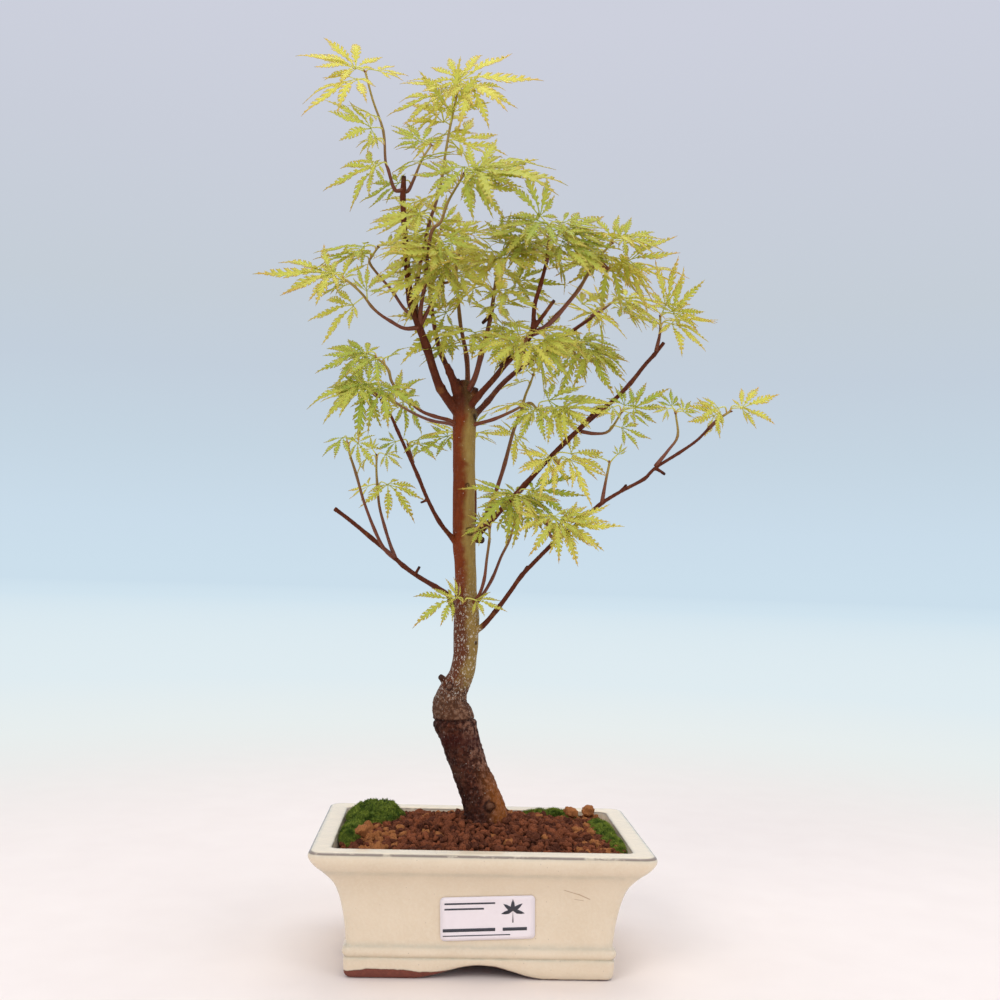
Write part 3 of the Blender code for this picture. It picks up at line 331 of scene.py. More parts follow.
        ((107, -12, 318), (93, -22, 313)), ((107, -12, 320), (106, -8, 333)),
        ((108, -12, 318), (118, -2, 327)), ((107, -12, 315), (119, -22, 313)),
    ]),
    "shoot_right_spur": Shoot(0.9, [
        [(51, -10, 302), (60, -10, 301), (68, -10, 303), (75, -10, 314)],
    ], [
        ((77, -10, 318), (97, -14, 333)), ((78, -10, 317), (94, -20, 318)),
        ((74, -10, 314), (62, -20, 305)), ((72, -10, 310), (85, -20, 302)),
        ((77, -10, 317), (80, -4, 335)),
    ]),
    "shoot_trunk_low": Shoot(0.8, [
        [(-23, 10, 200), (-18, 2, 200), (-14, -8, 199)],
    ], [
        ((-13, -12, 199), (-38, -22, 189)), ((-13, -12, 200), (6, -22, 195)),
        ((-14, -11, 200), (-20, -20, 213)),
    ]),
    "shoot_small_front": Shoot(1.1, [
        [(-12, 0, 195), (-6, -8, 203), (-3, -14, 213), (-2, -18, 225), (-1, -20, 235), (-1, -22, 239),
         (-1, -24, 243)],
    ], [
        ((-2, -24, 244), (-12, -34, 251)), ((-1, -24, 244), (11, -36, 242)),
        ((-1, -22, 239), (-10, -32, 230)),
    ]),
    "shoot_small_back": Shoot(1.1, [
        [(-11, 0, 194), (-4, 8, 202), (3, 14, 214), (8, 18, 227), (13, 20, 238), (17, 21, 253),
         (18, 22, 259), (20, 22, 263)],
    ], [
        ((19, 22, 264), (34, 32, 274)), ((19, 22, 264), (12, 34, 278)), ((19, 22, 260), (32, 36, 250)),
    ]),
}


# ---------------------------------------------------------------- helpers


def place(point):
    return POT_MIDDLE + Vector(point) * MM


def linear(red, green, blue):
    """A screen colour, 0 to 255, as the linear colour that shaders take."""
    found = []
    for value in (red, green, blue):
        value /= 255
        found.append(value / 12.92 if value <= 0.04045 else ((value + 0.055) / 1.055) ** 2.4)
    return (*found, 1.0)


class Paint:
    """One procedural material, with short calls for the nodes that it needs."""

    def __init__(self, name, roughness=0.6, specular=0.4):
        self.material = bpy.data.materials.new(name)
        self.material.use_nodes = True
        self.nodes = self.material.node_tree.nodes
        self.links = self.material.node_tree.links
        self.shader = self.nodes["Principled BSDF"]
        self.shader.inputs["Roughness"].default_value = roughness
        self.shader.inputs["Specular IOR Level"].default_value = specular

    def give(self, socket, value):
        if isinstance(value, bpy.types.NodeSocket):
            self.links.new(value, socket)
        else:
            socket.default_value = value

    def make(self, kind, inputs):
        made = self.nodes.new("ShaderNode" + kind)
        for name, value in inputs.items():
            self.give(made.inputs[name], value)
        return made

    def point(self, stretch=(1, 1, 1)):
        """The place on the object in millimetres, stretched along the axes."""
        place_m = self.make("TexCoord", {}).outputs["Object"]
        scale = self.make("VectorMath", {0: place_m, 1: [s / MM for s in stretch]})
        scale.operation = "MULTIPLY"
        return scale.outputs[0]

    def part(self, vector, axis):
        return self.make("SeparateXYZ", {0: vector}).outputs[axis]

    def attribute(self, name):
        found = self.make("Attribute", {})
        found.attribute_name = name
        return found.outputs["Fac"]

    def noise(self, vector, size, detail=3.0, roughness=0.55):
        """Soft noise whose blobs are about size millimetres across."""
        inputs = {"Vector": vector, "Scale": 1.0 / size, "Detail": detail, "Roughness": roughness}
        return self.make("TexNoise", inputs).outputs["Fac"]

    def cells(self, vector, size):
        """The distance from the middle of a random cell, in cells of about size millimetres."""
        return self.make("TexVoronoi", {"Vector": vector, "Scale": 1.0 / size}).outputs["Distance"]

    def math(self, operation, first, second=0.0):
        made = self.make("Math", {0: first, 1: second})
        made.operation = operation
        return made.outputs[0]

    def times(self, first, *others):
        for other in others:
            first = self.math("MULTIPLY", first, other)
        return first

    def band(self, value, start, end, low=0.0, high=1.0):
        """value taken from start..end to low..high, and held there past either end."""
        made = self.make("MapRange", {
            "Value": value, "From Min": start, "From Max": end, "To Min": low, "To Max": high})
        made.interpolation_type = "SMOOTHSTEP"
        return made.outputs[0]

    def mix(self, share, first, second):
        """Two colours mixed, each a socket or a screen colour from 0 to 255."""
        made = self.make("Mix", {0: share})
        made.data_type = "RGBA"
        for socket, colour in zip(made.inputs[6:8], (first, second)):
            self.give(socket, linear(*colour) if isinstance(colour, tuple) else colour)
        return made.outputs[2]

    def over(self, base, colour, *masks):
        """The base with a colour laid over it, as far as all the masks together allow."""
        return self.mix(self.times(*masks), base, colour)

    def colour(self, value):
        self.give(self.shader.inputs["Base Color"], value)

    def rough(self, value):
        self.give(self.shader.inputs["Roughness"], value)

    def bump(self, height, depth_mm):
        made = self.make("Bump", {"Distance": depth_mm * MM, "Height": height})
        self.links.new(made.outputs[0], self.shader.inputs["Normal"])

    def blend(self, share, shader):
        """A second shader mixed into the material's surface."""
        both = self.make("MixShader", {0: share, 1: self.shader.outputs[0], 2: shader.outputs[0]})
        self.links.new(both.outputs[0], self.nodes["Material Output"].inputs["Surface"])


class Shape:
    """Points, faces and per-point numbers, gathered and turned into one mesh object."""

    def __init__(self, *numbers):
        self.points, self.faces = [], []
        self.numbers = {name: [] for name in numbers}

    def add(self, points, faces, **numbers):
        start = len(self.points)
        self.points.extend(points)
        self.faces.extend([tuple(start + i for i in face) for face in faces])
        for name, values in self.numbers.items():
            given = numbers.get(name, 0.0)
            if isinstance(given, (int, float)):
                given = [given] * len(points)
            values.extend(given)

    def build(self, name, paint, smooth=True):
        mesh = bpy.data.meshes.new(name)
        mesh.from_pydata([place(p) for p in self.points], [], self.faces)
        for label, values in self.numbers.items():
            layer = mesh.attributes.new(label, "FLOAT", "POINT")
            layer.data.foreach_set("value", np.array(values, np.float32))
        return make_object(name, mesh, paint, smooth)


def new_object(name, data):
    obj = bpy.data.objects.new(name, data)
    bpy.context.scene.collection.objects.link(obj)
    return obj


def make_object(name, mesh, paint, smooth=True):
    mesh.materials.clear()
    mesh.materials.append(paint.material)
    mesh.shade_smooth() if smooth else mesh.shade_flat()
    return new_object(name, mesh)


def from_bmesh(bm, name):
    mesh = bpy.data.meshes.new(name)
    bm.to_mesh(mesh)
    bm.free()
    return mesh


def finish_piece(obj, slot, *nodes):
    """Rides the piece on the part's one body, and lets it stand for any CAD nodes named."""
    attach(obj, "root")
    if nodes:
        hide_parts(*nodes)


def evaluated_mesh(obj):
    graph = bpy.context.evaluated_depsgraph_get()
    return bpy.data.meshes.new_from_object(obj.evaluated_get(graph))


def smooth_route(points, steps):
    """Points along a smooth curve (Catmull-Rom) through the route's own points."""
    points = [Vector(p) for p in points]
    ends = [2 * points[0] - points[1], *points, 2 * points[-1] - points[-2]]
    found = []
    for a, b, c, d in zip(ends, ends[1:], ends[2:], ends[3:]):
        for step in range(steps):
            t = step / steps
            found.append(
                0.5 * ((2 * b) + (c - a) * t + (2 * a - 5 * b + 4 * c - d) * t * t
                       + (3 * b - a - 3 * c + d) * t ** 3)
            )
    return found + [points[-1]]


def spread(values, steps):
    """Numbers at a route's own points, filled in between them."""
    count = (len(values) - 1) * steps + 1
    return list(np.interp(np.arange(count) / steps, np.arange(len(values)), values))


def taper(count, start, end):
    return [start + (end - start) * i / (count - 1) for i in range(count)]


def clamp(value):
    return min(max(value, 0.0), 1.0)


def jitter(shake, reach):
    return Vector([shake.uniform(-reach, reach) for _ in range(3)])


def loft(rows, around):
    """The faces of a closed skin over rows of points: its sides, then its first and last row."""
    faces = []
    for row in range(rows - 1):
        for k in range(around):
            a, b = row * around + k, row * around + (k + 1) % around
            faces.append((a, b, b + around, a + around))
    faces.append(tuple(range(around))[::-1])
    faces.append(tuple((rows - 1) * around + k for k in range(around)))
    return faces


def rounded_rectangle(half_x, half_y, radius, corner_steps, side_steps):
    """Points around a rectangle with round corners, evenly spaced along its two kinds of side."""

    def on_corner(corner, share):
        sign_x, sign_y = ((1, 1), (-1, 1), (-1, -1), (1, -1))[corner % 4]
        turn = math.pi / 2 * (corner + share)
        return Vector((sign_x * (half_x - radius) + radius * math.cos(turn),
                       sign_y * (half_y - radius) + radius * math.sin(turn)))

    loop = []
    for corner in range(4):
        loop += [on_corner(corner, step / corner_steps) for step in range(corner_steps + 1)]
        start, end, steps = loop[-1], on_corner(corner + 1, 0), side_steps[(corner + 1) % 2]
        loop += [start.lerp(end, step / steps) for step in range(1, steps)]
    return loop


def tube(points, radii, sides):
    """The points and faces of a closed round tube, and each point's share of its length."""
    points = [Vector(p) for p in points]
    heading = (points[1] - points[0]).normalized()
    side = heading.orthogonal().normalized()
    rings, shares = [], []
    for index, (point, radius) in enumerate(zip(points, radii)):
        ahead = points[min(index + 1, len(points) - 1)] - points[max(index - 1, 0)]
        side = (side - ahead.normalized() * side.dot(ahead.normalized())).normalized()
        up = ahead.normalized().cross(side)
        for k in range(sides):
            turn = 2 * math.pi * k / sides
            rings.append(point + (side * math.cos(turn) + up * math.sin(turn)) * radius)
            shares.append(index / (len(points) - 1))
    return rings, loft(len(points), sides), shares


def thicken(obj, thickness):
    """A flat piece made into a sheet of this thickness in millimetres."""
    solidify = obj.modifiers.new("thickness", "SOLIDIFY")
    solidify.thickness, solidify.offset = thickness * MM, 0.0


# ---------------------------------------------------------------- materials


def bark_paint():
    """Bark of the trunk and branches: rough and dark below, flecked in the middle, smooth above."""
    paint = Paint("bark", specular=0.1)
    spot = paint.point()
    height = paint.part(spot, 2)
    side = paint.attribute("side")
    streak = paint.noise(paint.point((1, 1, 0.22)), 1.6, 4.0, 0.65)
    patch = paint.noise(spot, 9.0)
    crumb = paint.noise(spot, 2.4, 5.0, 0.68)
    uneven = paint.math("SUBTRACT", patch, 0.5)
    right = paint.band(side, -0.1, 0.8)
    # Below the graft: dark and cracked, worn on its right, with a red ring and an amber foot
    low = paint.mix(paint.band(crumb, 0.4, 0.72), (46, 17, 9), (100, 52, 34))
    low = paint.over(low, (120, 76, 56), paint.band(patch, 0.5, 0.74, 0.0, 0.5))
    worn = paint.times(paint.band(side, -0.1, 0.6), paint.band(crumb, 0.44, 0.6))
    low = paint.over(low, (152, 110, 88), worn, 0.6)
    low = paint.over(low, (40, 14, 8), paint.band(side, -0.1, -0.8, 0.0, 0.45))
    low = paint.over(low, (112, 76, 52), paint.band(height, GRAFT_HEIGHT, GRAFT_HEIGHT + 2), 0.35)
    ring = paint.times(paint.band(height, 127, 120), paint.band(height, 112, 119))
    low = paint.over(low, (58, 16, 12), ring, 0.65)
    pale = paint.band(height, GRAFT_HEIGHT, GRAFT_HEIGHT + 3)
    low = paint.over(low, (156, 126, 100), pale, paint.band(crumb, 0.5, 0.6), 0.3)
    low = paint.over(low, (152, 86, 30), right, paint.band(height, 112, 84), 0.75)
    # Above it: brown to olive, then red to olive, and dark at the trunk's head
    olive = paint.mix(streak, (140, 106, 46), (176, 150, 90))
    red = paint.mix(streak, (92, 34, 12), (140, 64, 24))
    turn = paint.math("ADD", side, paint.times(uneven, 1.4))
    high = paint.mix(paint.band(turn, -0.35, 0.4), red, olive)
    middle = paint.mix(paint.band(turn, -0.3, 0.4), (96, 52, 32), (140, 112, 60))
    level = paint.math("ADD", height, paint.times(uneven, 26.0))
    stem = paint.mix(paint.band(level, 176, 232), middle, high)
    stem = paint.mix(paint.band(level, 146, 156), low, stem)
    stem = paint.over(stem, (70, 34, 22), paint.band(level, 300, 318, 0.0, 0.8))
    # Lichen: pale flecks in the middle and sparse dots all over
    fleck = paint.band(paint.noise(paint.point((1, 1, 0.6)), 1.1, 4.0, 0.75), 0.55, 0.62)
    lichen = paint.times(fleck, paint.band(level, 136, 152, 0.08, 1.0),
                         paint.band(level, 226, 188, 0.03, 0.85))
    dot = paint.band(paint.cells(spot, 3.2), 0.1, 0.06)
    stem = paint.over(stem, (214, 202, 188), paint.math("MAXIMUM", lichen, paint.times(dot, 0.55)))
    branch = paint.mix(streak, (58, 24, 14), (112, 54, 32))
    branch = paint.over(branch, (132, 82, 42), paint.band(patch, 0.55, 0.72, 0.0, 0.7))
    surface = paint.mix(paint.attribute("trunk"), branch, stem)
    surface = paint.over(surface, (108, 76, 60), paint.attribute("cut"))
    paint.colour(paint.over(surface, (38, 15, 10), paint.attribute("knot")))
    paint.rough(paint.band(crumb, 0.35, 0.65, 0.75, 0.42))
    paint.bump(paint.math("ADD", streak, paint.noise(spot, 0.7)), 0.4)
    return paint


def twig_paint():
    """Young bark, brown at the twig's root and green to its end."""
    paint = Paint("young_bark", roughness=0.5)
    grain = paint.noise(paint.point(), 1.5)
    old = paint.mix(grain, (84, 34, 20), (130, 68, 38))
    fresh = paint.mix(grain, (136, 112, 44), (182, 158, 72))
    paint.colour(paint.mix(paint.band(paint.attribute("young"), 0.35, 1.0), old, fresh))
    paint.bump(grain, 0.12)
    return paint


def leaf_paint():
    """Thin leaf: yellow-green, greener or more golden from leaf to leaf, tan at tips and edges."""
    paint = Paint("maple_leaf", roughness=0.5, specular=0.22)
    tone, reach, rib = (paint.attribute(n) for n in ("tone", "reach", "rib"))
    spot = paint.noise(paint.point(), 5.0)
    fresh = paint.mix(tone, (192, 203, 84), (242, 235, 120))
    fresh = paint.over(fresh, (234, 225, 110), paint.band(spot, 0.42, 0.72, 0.0, 0.6))
    tan = paint.mix(tone, (210, 150, 84), (234, 176, 116))
    edge = paint.band(rib, 0.66, 0.95, 0.0, 0.7)
    end = paint.band(reach, 0.6, 1.0, 0.0, 0.7)
    share = paint.times(paint.math("MAXIMUM", edge, end), paint.band(spot, 0.25, 0.6, 0.55, 1.0),
                        paint.attribute("tan"))
    blade = paint.mix(share, fresh, tan)
    blade = paint.over(blade, (226, 224, 128), paint.band(rib, 0.14, 0.02, 0.0, 0.3))
    paint.colour(blade)
    paint.bump(paint.noise(paint.point(), 1.2, 2.0), 0.1)
    paint.blend(0.5, paint.make("BsdfTranslucent", {"Color": blade}))
    return paint


def stalk_paint():
    """Leaf stalk, reddish at its root and green to the blade."""
    paint = Paint("leaf_stalk", roughness=0.45)
    grain = paint.noise(paint.point(), 2.0)
    red = paint.mix(grain, (168, 104, 62), (196, 140, 76))
    green = paint.mix(grain, (190, 188, 78), (222, 214, 112))
    paint.colour(paint.mix(paint.band(paint.attribute("young"), 0.0, 0.5), red, green))
    return paint


# Scratches in the front glaze: the middle as (x, z), the slope in radians, half length, half width
SCRATCHES = [
    ((47.5, 48.4), -0.3, 5.0, 0.35), ((54.6, 45.9), -0.42, 4.2, 0.45), ((52.0, 44.0), -0.15, 3.0, 0.25),
]


def scratch_mask(paint, spot, middle, slope, half_length, half_width):
    """1 along a short straight scratch on the front wall, and 0 elsewhere."""
    x = paint.math("SUBTRACT", paint.part(spot, 0), middle[0] + POT_MIDDLE.x / MM)
    z = paint.math("SUBTRACT", paint.part(spot, 2), middle[1])
    cosine, sine = math.cos(slope), math.sin(slope)
    along = paint.math("ADD", paint.times(x, cosine), paint.times(z, sine))
    across = paint.math("SUBTRACT", paint.times(z, cosine), paint.times(x, sine))
    return paint.times(
        paint.band(paint.math("ABSOLUTE", across), half_width, half_width / 3),
        paint.band(paint.math("ABSOLUTE", along), half_length, half_length * 0.7),
        paint.band(paint.part(spot, 1), 0.0, -1.0),
    )


def glaze_paint():
    """Cream glaze, blue-grey where it runs thinner and as painted shade in its grooves, under its lip
    and on its corners, with a painted highlight on the rim's top and fine specks; bare red clay below
    its edge.
    """
    paint = Paint("cream_glaze", specular=0.5)
    spot = paint.point()
    height = paint.part(spot, 2)
    cloud = paint.noise(spot, 22.0, 4.0)
    fine = paint.noise(spot, 1.6, 3.0, 0.6)
    cream = paint.mix(cloud, (220, 199, 170), (237, 219, 193))
    cream = paint.over(cream, (236, 222, 200), paint.band(fine, 0.35, 0.75, 0.0, 0.35))
    # Painted highlight: the rim's top is painted a paler, warmer cream
    cream = paint.over(cream, (255, 238, 208), paint.band(height, 68.6, 69.4, 0.0, 0.75))
    thin = paint.attribute("thin")
    wisp = paint.noise(paint.point((1, 1, 2.2)), 9.0, 4.0, 0.6)
    # Blue-grey where the glaze runs thinner on the rim's edges, and as painted shade in the pot's
    # grooves, under its lip and on its corners
    cream = paint.over(cream, (170, 168, 150), thin, paint.band(wisp, 0.25, 0.62, 0.4, 1.0), 0.55)
    bare = paint.times(paint.band(thin, 0.6, 0.95), paint.band(wisp, 0.34, 0.5, 0.35, 1.0))
    cream = paint.over(cream, (104, 86, 82), bare, paint.band(height, 64.0, 66.0), 0.75)
    for scratch in SCRATCHES:
        cream = paint.over(cream, (158, 112, 76), scratch_mask(paint, spot, *scratch), 0.55)
    speck = paint.band(paint.cells(spot, 3.4), 0.07, 0.03)
    cream = paint.over(cream, (108, 78, 58), speck, paint.band(cloud, 0.42, 0.6), 0.8)
    ragged = paint.times(paint.math("SUBTRACT", paint.noise(spot, 6.0, 5.0), 0.5), 1.6)
    rise = paint.math("ADD", paint.attribute("rise"), ragged)
    clay = paint.mix(fine, (98, 48, 38), (138, 74, 58))
    glazed = paint.band(rise, -0.15, 0.2)
    cream = paint.over(cream, (168, 160, 142), paint.band(rise, 0.9, 0.1, 0.0, 0.4))
    paint.colour(paint.mix(glazed, clay, cream))
    paint.rough(paint.band(rise, -0.2, 0.3, 0.85, 0.2))
    relief = paint.math("ADD", paint.times(fine, 0.35), paint.noise(spot, 14.0, 2.0))
    paint.bump(paint.math("ADD", relief, glazed), 0.35)
    return paint


def clay_paint():
    """Baked clay granules, one tone each, with a painted highlight on the high parts of their rough
    pores and painted shade down in them.
    """
    paint = Paint("clay", roughness=0.92, specular=0.12)
    pores = paint.noise(paint.point(), 0.8, 5.0, 0.7)
    base = paint.mix(paint.attribute("tone"), (76, 38, 25), (144, 80, 50))
    base = paint.over(base, (170, 108, 62), paint.band(paint.attribute("warm"), 0.4, 0.6))
    # Painted highlight on the high parts of the pores
    base = paint.over(base, (176, 118, 92), paint.band(pores, 0.45, 0.75, 0.0, 0.35))
    # Painted shade down in the pores
    base = paint.over(base, (38, 17, 12), paint.band(pores, 0.5, 0.32, 0.0, 0.7))
    paint.colour(base)
    paint.bump(pores, 0.8)
    return paint


def moss_paint():
    """Moss, deep green in patches, with paler tips to its leaves."""
    paint = Paint("moss", roughness=0.8, specular=0.2)
    tone = paint.attribute("tone")
    deep = paint.mix(tone, (36, 52, 13), (98, 124, 36))
    bright = paint.mix(tone, (66, 84, 22), (166, 180, 70))
    paint.colour(paint.mix(paint.band(paint.noise(paint.point(), 5.0), 0.38, 0.62), deep, bright))
    paint.bump(paint.noise(paint.point(), 0.7, 4.0), 0.5)
    return paint


def plain_paint(name, dark, light, size, roughness, depth):
    """A quiet material: two near tones in soft noise, and a faint bump of the same size."""
    paint = Paint(name, roughness=roughness)
    grain = paint.noise(paint.point(), size, 4.0)
    paint.colour(paint.mix(grain, dark, light))
    paint.bump(grain, depth)
    return paint


# ---------------------------------------------------------------- wood


TRUNK_STEPS = 6
TRUNK_SIDES, BRANCH_SIDES, STUB_SIDES = 32, 12, 10
VOXEL = 0.5
KNOT_SWELL = 0.2  # how much thicker a branch is where a side shoot once grew
COLLAR_REACH, COLLAR_FADE = 6.0, 4.5  # how far a branch's thick root runs out


def trunk_line():
    route = smooth_route([point for point, _ in TRUNK], TRUNK_STEPS)
    return route, spread([radius for _, radius in TRUNK], TRUNK_STEPS)


def branch_tube(route, start_radius, end_radius, steps=5, collar=1.3):
    """A branch with a collar at its root and a slight swelling at each second route point."""
    points = smooth_route(route, steps)
    radii = taper(len(points), start_radius, end_radius)
    gone = 0.0
    for index, point in enumerate(points):
        if index:
            gone += (point - points[index - 1]).length
        knot = min(abs(index - k) for k in range(2 * steps, len(points) + 2 * steps, 2 * steps))
        radii[index] *= 1 + KNOT_SWELL * math.exp(-knot ** 2)
        radii[index] += collar * math.exp(-max(gone - COLLAR_REACH, 0.0) / COLLAR_FADE)
    return points, radii


# Short pruned ends on the wood: where each starts, where it ends and its radius
STUBS = [
    ((-22, 0, 152), (-26.5, -3, 156.5), 1.9), ((-8, -5, 237), (-4, -8, 236), 2.2),
    ((-14, -3, 318), (-11, -6, 326), 1.9), ((-20, 4, 325), (-22, 7, 333), 1.6),
    ((50, -10, 303), (62, -13, 317), 1.3), ((7, -24, 340), (2, -30, 335), 1.6),
    ((20, -33, 357), (31, -36, 373), 1.2), ((-4, -15, 368), (-9, -18, 362), 1.2),
    ((94, -20, 281), (99, -24, 277), 1.0), ((18, -19, 216), (22, -14, 222), 1.0),
    ((-58, -14, 440), (-58, -13, 449), 1.6), ((-44, 22, 214), (-41, 22, 220), 1.0),
    ((73, -26, 266), (76, -29, 270), 0.9), ((-37, -19, 258), (-41, -20, 256), 0.8),
]
GRAFT_HEIGHT, GRAFT_SLOPE = 131.0, 0.06
OLD_BARK_TOP, OLD_BARK_FADE = 158.0, 14.0  # rough bark ends here, and over this height
# Knots on the trunk: centre, how far each reaches, and how high it stands
KNOTS = [((4.4, -8, 83.5), 3.7, 1.9), ((-9, -5, 309), 3.4, 1.4), ((-21, -5, 151), 2.8, 1.0),
         ((-28, 0, 125), 2.6, 1.4), ((-12, -6, 241), 2.6, 1.0), ((-16, 6, 200), 2.2, 0.7),
         ((-5, -5, 176), 2.0, 0.6), ((-14, -7, 268), 1.8, 0.6)]


def build_wood(paint):
    """The trunk and branches fused into one grown skin, then shaped with bark."""
    route, radii = trunk_line()
    tubes = [tube(route, radii, TRUNK_SIDES)]
    for branch in BRANCHES.values():
        line, sizes = branch_tube(branch.route, branch.start_radius, branch.end_radius)
        tubes.append(tube(line, sizes, BRANCH_SIDES))
    for start, end, radius in STUBS:
        middle = (Vector(start) + Vector(end)) / 2
        tubes.append(tube([start, middle, end], [radius * 1.2, radius, radius * 0.9], STUB_SIDES))
    gathered = Shape()
    for points, faces, _ in tubes:
        gathered.add(points, faces)
    rough = gathered.build("wood_rough", paint)
    fuse = rough.modifiers.new("fuse", "REMESH")
    fuse.mode, fuse.voxel_size = "VOXEL", VOXEL * MM
    soften = rough.modifiers.new("soften", "SMOOTH")
    soften.factor, soften.iterations = 0.5, 3
    mesh = evaluated_mesh(rough)
    bpy.data.objects.remove(rough)
    shape_bark(mesh, np.array(route), np.array(radii))
    wood = make_object("trunk_and_branches", mesh, paint)
    finish_piece(wood, "bark", "trunk", *BRANCHES)


def peak(distance, width, power=2):
    """1 at no distance, falling smoothly to 0 past the width."""
    return np.exp(-(distance / width) ** power)


def shape_bark(mesh, line, radii):
    """Gives the skin its ridges, graft line, knots and stubs, and marks them for the paint."""
    count = len(mesh.vertices)
    spots, normals = np.empty(count * 3, np.float32), np.empty(count * 3, np.float32)
    mesh.vertices.foreach_get("co", spots)
    mesh.vertices.foreach_get("normal", normals)
    origin = np.array(POT_MIDDLE, np.float32)
    spots, normals = (spots.reshape(-1, 3) - origin) / MM, normals.reshape(-1, 3)
    nearest, least = np.zeros(count, int), np.full(count, np.inf)
    for index, spot in enumerate(line):
        away = ((spots - spot) ** 2).sum(axis=1)
        closer = away < least
        nearest[closer], least[closer] = index, away[closer]
    span = np.sqrt(least) / radii[nearest]
    trunk = np.clip((1.55 - span) / 0.3, 0, 1)
    side = (spots[:, 0] - line[nearest, 0]) / radii[nearest]
    old = np.clip((OLD_BARK_TOP - spots[:, 2]) / OLD_BARK_FADE, 0, 1) * trunk
    push = np.zeros(count)
    for i, (x, y, z) in enumerate(spots.tolist()):
        if trunk[i] > 0:
            ridge = noise.noise(Vector((x * 0.2, y * 0.2, z * 0.09)))
            plate = noise.noise(Vector((x, y, z)) * 0.45)
            crumb = noise.noise(Vector((x, y, z)) * 1.2)
            rough = 0.6 * ridge + 0.5 * plate + 0.3 * crumb
            push[i] = old[i] * rough + (trunk[i] - old[i]) * (0.35 * ridge + 0.05 * crumb)
        else:
            push[i] = 0.1 * noise.noise(Vector((x, y, z)) * 0.7)
    above = spots[:, 2] - (GRAFT_HEIGHT + GRAFT_SLOPE * (spots[:, 0] - line[nearest, 0]))
    push += trunk * (0.5 * peak(above + 2.0, 1.5) - 1.1 * peak(above, 0.6))
    knot, cut = 0.7 * trunk * peak(above - 0.3, 0.5), np.zeros(count)
    for centre, reach, height in KNOTS:
        away = np.linalg.norm(spots - np.array(centre), axis=1) / reach
        for i in np.flatnonzero(away < 1.6):
            away[i] *= 1 + 0.3 * noise.noise(Vector(spots[i].tolist()) * 0.55)
        push += height * (peak(away, 0.6, 4) - 0.5 * peak(away, 0.2))
        knot = np.maximum(knot, np.maximum(0.9 * peak(away - 0.8, 0.2), 0.8 * peak(away, 0.16)))
        cut = np.maximum(cut, 0.7 * peak(away, 0.5, 4))
    spots += normals * push[:, None]
    for _, end, radius in STUBS:
        apart = np.linalg.norm(spots - np.array(end), axis=1) / radius
        cut = np.maximum(cut, apart < 1.05)
        knot = np.maximum(knot, 0.75 * peak(apart, 2.0, 4))
    mesh.vertices.foreach_set("co", (spots * MM + origin).astype(np.float32).ravel())
    for label, values in (("trunk", trunk), ("side", side), ("cut", cut), ("knot", knot)):
        layer = mesh.attributes.new(label, "FLOAT", "POINT")
        layer.data.foreach_set("value", values.astype(np.float32))
    mesh.update()


# ---------------------------------------------------------------- leaves

# Lobes of a leaf: the angle from the middle one, and the length beside the middle one's
LOBES = [(-104, 0.42), (-70, 0.7), (-35, 0.93), (0, 1.06), (36, 0.92), (71, 0.69), (105, 0.41)]
# Side lobules along a lobe: where each starts on the midrib, its length and the blade's half width
LOBULES = [(0.18, 0.05, 0.013), (0.28, 0.1, 0.024), (0.385, 0.135, 0.035), (0.49, 0.13, 0.041),
           (0.595, 0.1, 0.038), (0.69, 0.072, 0.03), (0.785, 0.048, 0.021), (0.88, 0.03, 0.012)]
LOBULE_BASE = 0.05
LOBULE_TURN = (23, 37)
TOOTH_LEAST = 1.6  # a lobule shorter than this many half widths has no saw tooth
LEAF_THICK = 0.2
SMALL_LOBE, SMALL_LEAF = 0.45, 22  # short leaves, and some of the others, lack their smallest lobes


def lobe_outline(length, shake):
    """One lobe in its own plane: points as (along, aside), faces, and each point's rib share."""
    points, faces, ribs = [(0.0, 0.0)], [], [0.0]
    spine, edges = [0], {-1: [], 1: []}
    stations = [(0.0, 0.009)]
    for start, _, width in LOBULES:
        stations += [(start, width), (start + LOBULE_BASE, width * 0.8)]
    for side in (-1, 1):
        for start, width in stations:
            edges[side].append(len(points))
            points.append((start * length, side * width * length))
            ribs.append(0.4)
    for start, _ in stations[1:]:
        spine.append(len(points))
        points.append((start * length, 0.0))
        ribs.append(0.0)
    tip = len(points)
    points.append((length, 0.0))
    ribs.append(1.0)
    for side, edge in edges.items():
        for k in range(len(edge) - 1):
            faces.append((spine[k], edge[k], edge[k + 1], spine[k + 1]))
        faces.append((spine[-1], edge[-1], tip))
        for k, (_, reach, _) in enumerate(LOBULES):
            low, high = edge[2 * k + 1], edge[2 * k + 2]
            turn = math.radians(shake.uniform(*LOBULE_TURN))
            add_lobule(points, faces, ribs, (low, high), side, turn,
                       reach * length * shake.uniform(0.78, 1.15))
    return points, [facing_up(face, points) for face in faces], ribs


def facing_up(face, points):
    """The face with its points in anticlockwise order, seen in the lobe's own plane."""
    turned = zip(face, face[1:] + face[:1])
    area = sum(points[a][0] * points[b][1] - points[b][0] * points[a][1] for a, b in turned)
    return face if area > 0 else face[::-1]


